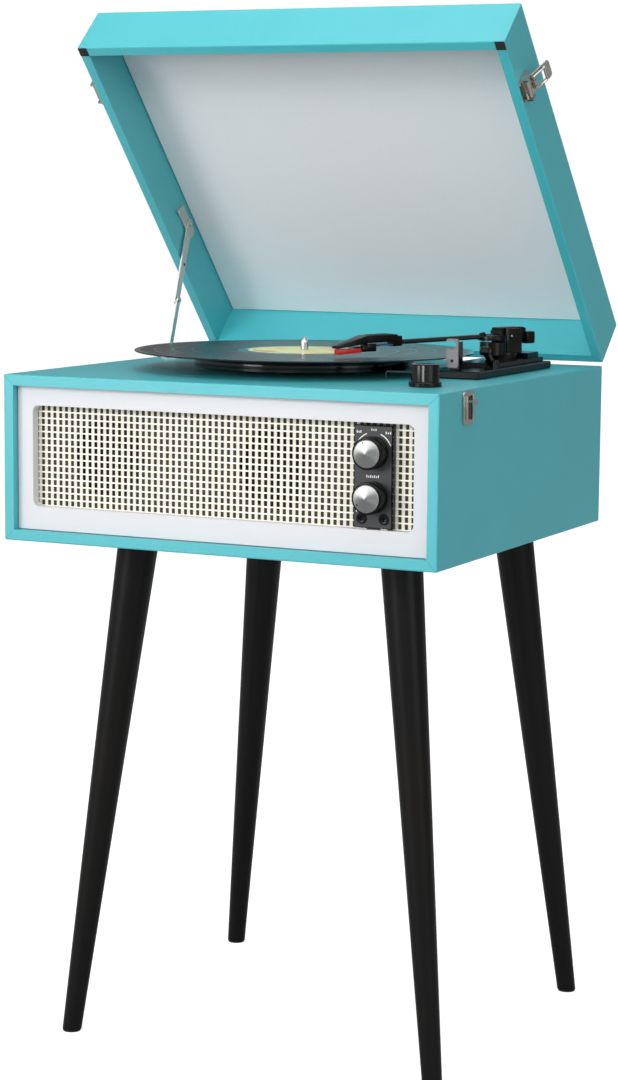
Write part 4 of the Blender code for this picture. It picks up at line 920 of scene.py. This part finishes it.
ground_steel, tree, shader = start_material("ground_steel", Metallic=1.0, Roughness=0.14)
scratches = noise_on_object(tree, 1.5, 3.0, (1.0, 1.0, 0.15))
colour_by(tree, shader, scratches, "C6C6C4", "DDDDDA")
raise_surface(tree, shader, scratches, 0.05, 0.03)
pin_low, pin_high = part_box("spindle")
pin = bmesh.new()
PIN = 0.0035
add_turned(
    pin,
    (
        (0, pin_high.z),
        (0.0009, pin_high.z - 0.0001),
        (0.0019, pin_high.z - 0.0008),
        (0.0027, pin_high.z - 0.0020),
        (0.0032, pin_high.z - 0.0036),
        (PIN, pin_high.z - 0.0058),
        (PIN, pin_low.z + 0.0003),
        (PIN - 0.0003, pin_low.z),
        (0, pin_low.z),
    ),
    48,
    on_platter,
)
finish_piece("spindle_pin", pin, ground_steel, "platter", ("spindle",), crease=50)

# ---------------------------------------------------------------- legs
# Four legs of turned wood, tapered to the foot and lacquered black, with the stain's brown
# showing through a little where the lacquer is thin. Each ends in a moulded rubber glide.
lacquered_leg, tree, shader = start_material("black_lacquered_beech", Roughness=0.34)
shader.inputs["Specular IOR Level"].default_value = 0.16
shader.inputs["Coat Weight"].default_value = 0.06
shader.inputs["Coat Roughness"].default_value = 0.16
GRAIN_WIDTH_MM = 2.2
grain = noise_on_object(tree, GRAIN_WIDTH_MM, 4.0, (1.0, 1.0, 0.06))
thin = noise_on_object(tree, 90, 2.0, (1, 1, 0.5))
tone = mix_colours(tree, grain, "080807", "110F0E")
thin_share = add_node(
    tree,
    "ShaderNodeMapRange",
    {"Value": thin, "From Min": 0.5, "From Max": 0.8, "To Max": 0.5},
)
colour_by(tree, shader, thin_share.outputs["Result"], tone, "1B1511")
raise_surface(tree, shader, grain, 0.18, 0.10)

LEG_TOP_RADIUS = 0.0182
LEG_FOOT_RADIUS = 0.0085
LEG_ENDS = {
    f"leg_{row}_{side}": ((sign * 0.1265, y), (sign * 0.051, lean))
    for row, y, lean in (("front", -0.087, -0.035), ("back", 0.163, 0.035))
    for side, sign in (("left", -1), ("right", 1))
}
GLIDE = 0.0016
leg_height = case_low.z


def cut_away(part, point, outward):
    """Cuts off what lies beyond a plane. Returns what the plane cut."""
    whole = list(part.verts) + list(part.edges) + list(part.faces)
    return bmesh.ops.bisect_plane(
        part, geom=whole, plane_co=point, plane_no=outward, clear_outer=True
    )["geom_cut"]


for name, (top, splay) in LEG_ENDS.items():
    low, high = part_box(name)
    crown = Vector((top[0], top[1] + MIDDLE_Y, leg_height))
    foot = crown + Vector((splay[0], splay[1], -leg_height))
    run = foot - crown
    beyond = 0.03
    taper = (LEG_TOP_RADIUS - LEG_FOOT_RADIUS) / run.length * beyond
    for piece, cuts, material, slot_name in (
        ("turned", (high.z, GLIDE), lacquered_leg, "black_legs"),
        ("glide", (GLIDE, 0.0), rubber, "black_legs"),
    ):
        cone = bmesh.new()
        shrink = 0.0006 if piece == "glide" else 0.0
        bmesh.ops.create_cone(
            cone,
            cap_ends=True,
            segments=72,
            radius1=LEG_FOOT_RADIUS - taper - shrink,
            radius2=LEG_TOP_RADIUS + taper - shrink,
            depth=run.length + 2 * beyond,
        )
        turn = (-run).to_track_quat("Z", "Y").to_matrix().to_4x4()
        bmesh.ops.transform(
            cone, matrix=Matrix.Translation((crown + foot) / 2) @ turn, verts=cone.verts
        )
        for height, outward in zip(cuts, ((0, 0, 1), (0, 0, -1))):
            cut = cut_away(cone, (0, 0, height), outward)
            rim = [part for part in cut if isinstance(part, bmesh.types.BMEdge)]
            bmesh.ops.contextual_create(cone, geom=rim)
        finish_piece(
            f"{name}_{piece}",
            cone,
            material,
            "case",
            (name,) if piece == "turned" else (),
            crease=50,
        )

# ---------------------------------------------------------------- tonearm
# Moulded black pieces on a thin lacquered tube. The head slopes down over a ceramic cartridge with
# a red needle holder. The pivot block lies between two cheeks, over a drum with a flat cap.
ARM_PIVOT = Vector(joints["arm_lift"]["pos_m"])
lift_axis = joints["arm_lift"]["axis"]
ARM_HEADING = math.atan2(lift_axis[0], -lift_axis[1])
ARM_DROP = math.radians(1.25)
ARM_PLACE = (
    Matrix.Translation(ARM_PIVOT)
    @ Matrix.Rotation(ARM_HEADING, 4, "Z")
    @ Matrix.Rotation(ARM_DROP, 4, "Y")
)
TURRET_PLACE = (
    Matrix.Translation((ARM_PIVOT.x, ARM_PIVOT.y, DECK)) @ Matrix.Rotation(ARM_HEADING, 4, "Z")
)
AXIS_UP = ARM_PIVOT.z - DECK
ALONG = Matrix.Rotation(math.pi / 2, 4, "Y")
tube_lacquer = spotted_plastic("lacquered_steel_tube", "17171A", "242426", 0.20, 3.0)
TUBE = 0.0021
tube = bmesh.new()
add_turned(
    tube,
    ((0, 0.1210), (TUBE - 0.0003, 0.1210), (TUBE, 0.1207), (TUBE, 0.0108),
     (TUBE - 0.0003, 0.0105), (0, 0.0105)),
    40,
    ALONG,
)
finish_piece("tonearm_tube", tube, tube_lacquer, "tonearm", ("arm_tube",), ARM_PLACE)


def add_wedge(shape, back, front, edge=0.0, steps=3):
    """A block whose two ends differ. Each end is (x, half width, low, high)."""
    part = bmesh.new()
    for corner in bmesh.ops.create_cube(part, size=1.0)["verts"]:
        x, half, low, high = front if corner.co.x > 0 else back
        corner.co = (x, math.copysign(half, corner.co.y), high if corner.co.z > 0 else low)
    if edge:
        round_edges(part, part.edges, edge, steps)
    add_part(shape, part)


NOSE_BACK, NOSE_TIP = (0.1525, 0.0074, 0.0011, 0.0077), (0.1832, 0.0045, -0.0026, -0.0004)
head = bmesh.new()
add_block(head, (0.1152, -0.0050, -0.0032), (0.1250, 0.0050, 0.0056), 0.0009, 3)
add_block(head, (0.1217, -0.0073, 0.0011), (0.1535, 0.0073, 0.0074), 0.0009, 3)
add_wedge(head, NOSE_BACK, NOSE_TIP, 0.0005)
GRIP_PITCH = 0.0034
for number in range(7):
    start = 0.1265 + number * GRIP_PITCH
    add_block(head, (start, -0.0062, 0.0065), (start + 0.0016, 0.0062, 0.0078), 0.0003, 1)
finish_piece(
    "tonearm_head", head, satin_black, "tonearm", ("headshell",), ARM_PLACE
)

NEEDLE_UNDER = -0.0085
HOLDER_TOP = -0.0029
cartridge_box = bmesh.new()
add_block(cartridge_box, (0.1432, -0.0053, -0.0064), (0.1530, 0.0053, 0.0002), 0.0005)
add_block(cartridge_box, (0.1500, -0.0053, -0.0064), (0.1580, 0.0053, -0.0016), 0.0005)
add_block(cartridge_box, (0.1560, -0.0048, -0.0025), (0.1658, 0.0048, -0.0016), 0.0003)
finish_piece(
    "cartridge_body",
    cartridge_box,
    gloss_black,
    "tonearm",
    ("cartridge",),
    ARM_PLACE,
)
contacts = bmesh.new()
WIRES = {
    "A": ("D8D8D6", -0.0036),
    "B": ("B8402F", -0.0012),
    "C": ("3F7D4A", 0.0012),
    "D": ("3E5FA8", 0.0036),
}
for key, (colour, y) in WIRES.items():
    add_turned(
        contacts,
        ((0, 0.1434), (0.0006, 0.1434), (0.0006, 0.1384), (0.0004, 0.1380), (0, 0.1380)),
        14,
        Matrix.Translation((0, y, -0.0018)) @ ALONG,
    )
    sheath = spotted_plastic("pvc_wire_" + key, colour, colour, 0.45, 1.0)
    lead = bmesh.new()
    add_turned(
        lead,
        ((0, 0.1386), (0.0006, 0.1386), (0.0006, 0.1246), (0, 0.1246)),
        12,
        Matrix.Translation((0, y, -0.0016)) @ ALONG,
    )
    finish_piece("arm_wire_" + key, lead, sheath, "tonearm", place=ARM_PLACE)
finish_piece("cartridge_pins", contacts, nickel, "tonearm", place=ARM_PLACE)

red_plastic, tree, shader = start_material("clear_red_polystyrene", Roughness=0.18)
shader.inputs["Transmission Weight"].default_value = 0.2
shader.inputs["IOR"].default_value = 1.58
tint = noise_on_object(tree, 5, 1.0)
colour_by(tree, shader, tint, "C9120D", "E01C12")
holder = bmesh.new()
add_wedge(
    holder,
    (0.1587, 0.0049, HOLDER_TOP - 0.0040, HOLDER_TOP - 0.0001),
    (0.1820, 0.0030, HOLDER_TOP - 0.0047, HOLDER_TOP - 0.0001),
    0.0006,
)
finish_piece("needle_holder", holder, red_plastic, "tonearm", ("stylus",), ARM_PLACE)
needle = bmesh.new()
add_turned(
    needle,
    ((0, HOLDER_TOP - 0.0040), (0.0005, HOLDER_TOP - 0.0040), (0.0004, NEEDLE_UNDER + 0.0008),
     (0.0001, NEEDLE_UNDER), (0, NEEDLE_UNDER)),
    12,
    Matrix.Translation((0.1770, 0, 0)),
)
finish_piece("needle_tip", needle, ground_steel, "tonearm", place=ARM_PLACE)

DRUM_OUT, DRUM_RADIUS, CAP_RADIUS_OUT = 0.0125, 0.0115, 0.0135
CAP_LOW = -0.0034
CHEEK_IN, CHEEK_OUT = 0.0085, 0.0112
block = bmesh.new()
add_block(block, (-0.0200, -0.0066, CAP_LOW + 0.0004), (0.0100, 0.0066, 0.0050), 0.0006)
add_wedge(block, (-0.0200, 0.0066, 0.0040, 0.0060), (-0.0165, 0.0066, 0.0040, 0.0073), 0.0003)
add_block(block, (-0.0168, -0.0060, 0.0040), (0.0080, 0.0060, 0.0074), 0.0008)
add_block(block, (-0.0284, -0.0093, -0.0078), (-0.0192, 0.0093, 0.0028), 0.0010)
cap = bmesh.new()
add_turned(
    cap,
    ((0, 0.0012), (0.0120, 0.0012), (0.0131, 0.0008), (CAP_RADIUS_OUT - 0.0001, 0.0001),
     (CAP_RADIUS_OUT - 0.0001, CAP_LOW + 0.0004), (CAP_RADIUS_OUT - 0.0005, CAP_LOW + 0.0001),
     (0, CAP_LOW + 0.0001)),
    64,
    Matrix.Translation((DRUM_OUT, 0, 0)),
)
# The cap is cut square behind, clear of the cheeks.
cut_away(cap, (0.0068, 0, 0), (-1, 0, 0))
bmesh.ops.holes_fill(cap, edges=[edge for edge in cap.edges if edge.is_boundary])
add_part(block, cap)
add_turned(
    block,
    ((TUBE + 0.0003, 0.0262), (0.0035, 0.0258), (0.0040, 0.0225), (TUBE + 0.0003, 0.0225)),
    32,
    ALONG,
    ring=True,
)
add_turned(
    block,
    ((0, CHEEK_OUT), (0.0015, CHEEK_OUT), (0.0015, -CHEEK_OUT), (0, -CHEEK_OUT)),
    24,
    Matrix.Rotation(math.pi / 2, 4, "X"),
)
finish_piece(
    "pivot_block", block, satin_black, "tonearm", ("arm_block",), ARM_PLACE
)

DISC_LOW = 0.0143
DRUM_TOP = AXIS_UP + CAP_LOW - 0.0018
turret = bmesh.new()
add_turned(
    turret,
    ((0, DISC_LOW + 0.0028), (0.0118, DISC_LOW + 0.0028), (0.0125, DISC_LOW + 0.0022),
     (0.0125, DISC_LOW), (0.0035, DISC_LOW), (0.0035, -0.0118), (0, -0.0118)),
    48,
)
for side in (-1, 1):
    near, far = side * CHEEK_IN, side * CHEEK_OUT
    add_block(
        turret,
        (-0.0123, min(near, far), DISC_LOW + 0.0018),
        (0.0053, max(near, far), AXIS_UP + 0.0068),
        0.0009,
    )
    add_turned(
        turret,
        ((0, 0.0006), (0.0024, 0.0006), (0.0028, 0.0003), (0.0028, -0.0003), (0, -0.0003)),
        24,
        Matrix.Translation((0, far, AXIS_UP)) @ Matrix.Rotation(-side * math.pi / 2, 4, "X"),
    )
finish_piece(
    "arm_turret_cheeks",
    turret,
    gloss_black,
    "arm_turret",
    ("arm_yoke",),
    TURRET_PLACE,
)
drum = bmesh.new()
add_turned(
    drum,
    ((0, DRUM_TOP), (DRUM_RADIUS - 0.0005, DRUM_TOP), (DRUM_RADIUS - 0.0001, DRUM_TOP - 0.0004),
     (DRUM_RADIUS - 0.0001, DISC_LOW + 0.0004), (DRUM_RADIUS - 0.0005, DISC_LOW), (0, DISC_LOW)),
    64,
    Matrix.Translation((DRUM_OUT, 0, 0)),
)
finish_piece(
    "arm_turret_drum", drum, gloss_black, "arm_turret", place=TURRET_PLACE
)
screws = bmesh.new()
for side in (-1, 1):
    add_turned(
        screws,
        ((0, 0.0010), (0.0008, 0.0009), (0.0012, 0.0005), (0, 0.0005)),
        20,
        Matrix.Translation((0, side * CHEEK_OUT, AXIS_UP))
        @ Matrix.Rotation(-side * math.pi / 2, 4, "X"),
    )
finish_piece("turret_screws", screws, nickel, "arm_turret", place=TURRET_PLACE)

# The base plate, the cue lever, and the rest with its grey clip.
paint("arm_base", satin_black)
paint("cue_lever", gloss_black)
paint("arm_rest_post", gloss_black)
grey_clip = spotted_plastic("grey_acetal", "6E6A6C", "7C787A", 0.4, 1.5)
paint("arm_rest_clip", grey_clip)

# ---------------------------------------------------------------- speed control
# A gloss black knob on a wider flange, with a thin lacquered wire lever.
low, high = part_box("speed_knob")
knob_place = Matrix.Translation(((low.x + high.x) / 2, (low.y + high.y) / 2, DECK))
speed = bmesh.new()
add_turned(
    speed,
    (
        (0, 0.0183),
        (0.0088, 0.0183),
        (0.0094, 0.0187),
        (0.0104, 0.0188),
        (0.0113, 0.0185),
        (0.0117, 0.0177),
        (0.0117, 0.0048),
        (0.0120, 0.0043),
        (0.0132, 0.0041),
        (0.0137, 0.0036),
        (0.0137, 0.0005),
        (0.0135, 0.0003),
        (0.0030, 0.0003),
        (0.0030, -0.0153),
        (0, -0.0153),
    ),
    80,
    knob_place,
)
finish_piece("speed_knob_body", speed, gloss_black, "speed_knob", ("speed_knob",))
paint("speed_lever", tube_lacquer)

# ---------------------------------------------------------------- hinges, stay and latches
# Stamped steel, bright nickel plated, with domed rivets.
for name in frame["nodes"]:
    if name.startswith(("hinge_", "latch_", "catch_")):
        paint(name, nickel)
    elif name.startswith("stay_"):
        paint(name, stay_steel)


def add_rivet(shape, radius, rise, place):
    """A domed rivet head on a surface whose outward side is the place's +Z."""
    add_turned(
        shape,
        (
            (0, rise),
            (0.5 * radius, 0.86 * rise),
            (0.87 * radius, 0.5 * rise),
            (radius, 0.1 * rise),
            (radius, -0.0002),
            (0, -0.0002),
        ),
        20,
        place,
    )


hinge_rivets = {"case": bmesh.new(), "lid": bmesh.new()}
HINGE_X = 0.125
HINGE_RIVET = (0.0024, 0.0007)  # radius and rise
RIVET_ASIDE = 0.012  # from the middle of its hinge
RIVET_FROM_AXIS = 0.013
LEAF_FACE = 0.0010  # in front of the hinge's axis
FACES_BACK = Matrix.Rotation(-math.pi / 2, 4, "X")
for x in (-HINGE_X, HINGE_X):
    for aside in (-RIVET_ASIDE, RIVET_ASIDE):
        seat = Matrix.Translation(
            (x + aside, LID_AXIS.y - LEAF_FACE, LID_AXIS.z - RIVET_FROM_AXIS)
        )
        add_rivet(hinge_rivets["case"], *HINGE_RIVET, seat @ FACES_BACK)
        seat = LID_PLACE @ Matrix.Translation((x + aside, -LEAF_FACE, RIVET_FROM_AXIS))
        add_rivet(hinge_rivets["lid"], *HINGE_RIVET, seat @ FACES_BACK)
for body, shape in hinge_rivets.items():
    finish_piece(f"hinge_rivets_{body}", shape, nickel, body)

# Each catch plate is pressed with a bead round a tapered rib, and its hollows are painted dark as
# painted shade. The stay's rivets are bright, but for the small stop rivet, painted dark as shade.
catch_low, catch_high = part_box("catch_plate_right")
PLATE_SHEET = 0.0012
# Each pressing is given by where it starts and ends along the plate, its inset and its rise.
BEADS = (
    (-0.0100, -0.0084, 0.0030, 0.0006),
    (0.0084, 0.0100, 0.0030, 0.0006),
    (-0.0064, -0.0032, 0.0036, 0.0012),
)
HOLLOWS = ((-0.0030, 0.0040, 0.0042, 0.0005), (0.0046, 0.0060, 0.0036, 0.0008))
for side, name in ((-1, "left"), (1, "right")):
    out = side * (HALF_WIDTH + 0.0003 + PLATE_SHEET)
    middle = (catch_low.y + catch_high.y) / 2
    for piece, metal, ribs in (("bead", nickel, BEADS), ("hollow", shaded_nickel, HOLLOWS)):
        pressing = bmesh.new()
        for y_low, y_high, inset, rise in ribs:
            xs = sorted((out - side * 0.0003, out + side * rise))
            add_block(
                pressing,
                (xs[0], middle + y_low, catch_low.z + inset),
                (xs[1], middle + y_high, catch_high.z - inset),
                0.45 * rise,
                3,
            )
        finish_piece(f"catch_{piece}_{name}", pressing, metal, "case")

# Each rivet of the stay is given by its body, the node it sits on, its Y and Z, and its size.
for name, body, sits_on, at_y, at_z, radius, metal in (
    ("stay_bracket_screw", "lid", "stay_lid_bracket", 0.0871, 0.7316, 0.0028, nickel),
    ("stay_pivot_rivet", "stay_upper_arm", "stay_upper_arm", 0.1075, 0.7201, 0.0030, nickel),
    # The stop rivet is painted dark nickel, as painted shade.
    ("stay_stop_rivet", "stay_upper_arm", "stay_upper_arm", 0.0955, 0.6820, 0.0014, shaded_nickel),
    ("stay_link_rivet", "stay_lower_arm", "stay_lower_arm", 0.0795, 0.6495, 0.0022, nickel),
):
    low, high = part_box(sits_on)
    face_x = low.x + 0.0016 if sits_on == "stay_lid_bracket" else high.x
    rivet = bmesh.new()
    seat = Matrix.Translation((face_x, at_y, at_z)) @ Matrix.Rotation(math.pi / 2, 4, "Y")
    add_rivet(rivet, radius, 0.0007, seat)
    if name == "stay_bracket_screw":
        add_block(rivet, (-0.0021, -0.0002, 0.0004), (0.0021, 0.0002, 0.00085), 0.0001, 1, seat)
    finish_piece(name, rivet, metal, body)

# Where the wrap is folded over at each corner of the rim, the fold leaves a thin raised line,
# painted darker than the wrap as painted shade in its crease.
fold_edge, tree, shader = start_material("fold_line_painted_shade", Roughness=0.5)
fold_mottle = noise_on_object(tree, 1.5, 2.0)
colour_by(tree, shader, fold_mottle, "2F8C95", "3F9FA8")
folds = bmesh.new()
RIM = 0.0093
for side in (-1, 1):
    for up, height in ((1, case_high.z), (-1, case_low.z)):
        add_block(
            folds,
            (-0.60 * RIM, -0.00010, -0.00022),
            (0.60 * RIM, 0.00030, 0.00022),
            0.00006,
            1,
            Matrix.Translation((side * (HALF_WIDTH - RIM / 2), case_low.y, height - up * RIM / 2))
            @ Matrix.Rotation(-side * up * math.pi / 4, 4, "Y"),
        )
finish_piece("wrap_folds", folds, fold_edge, "case")
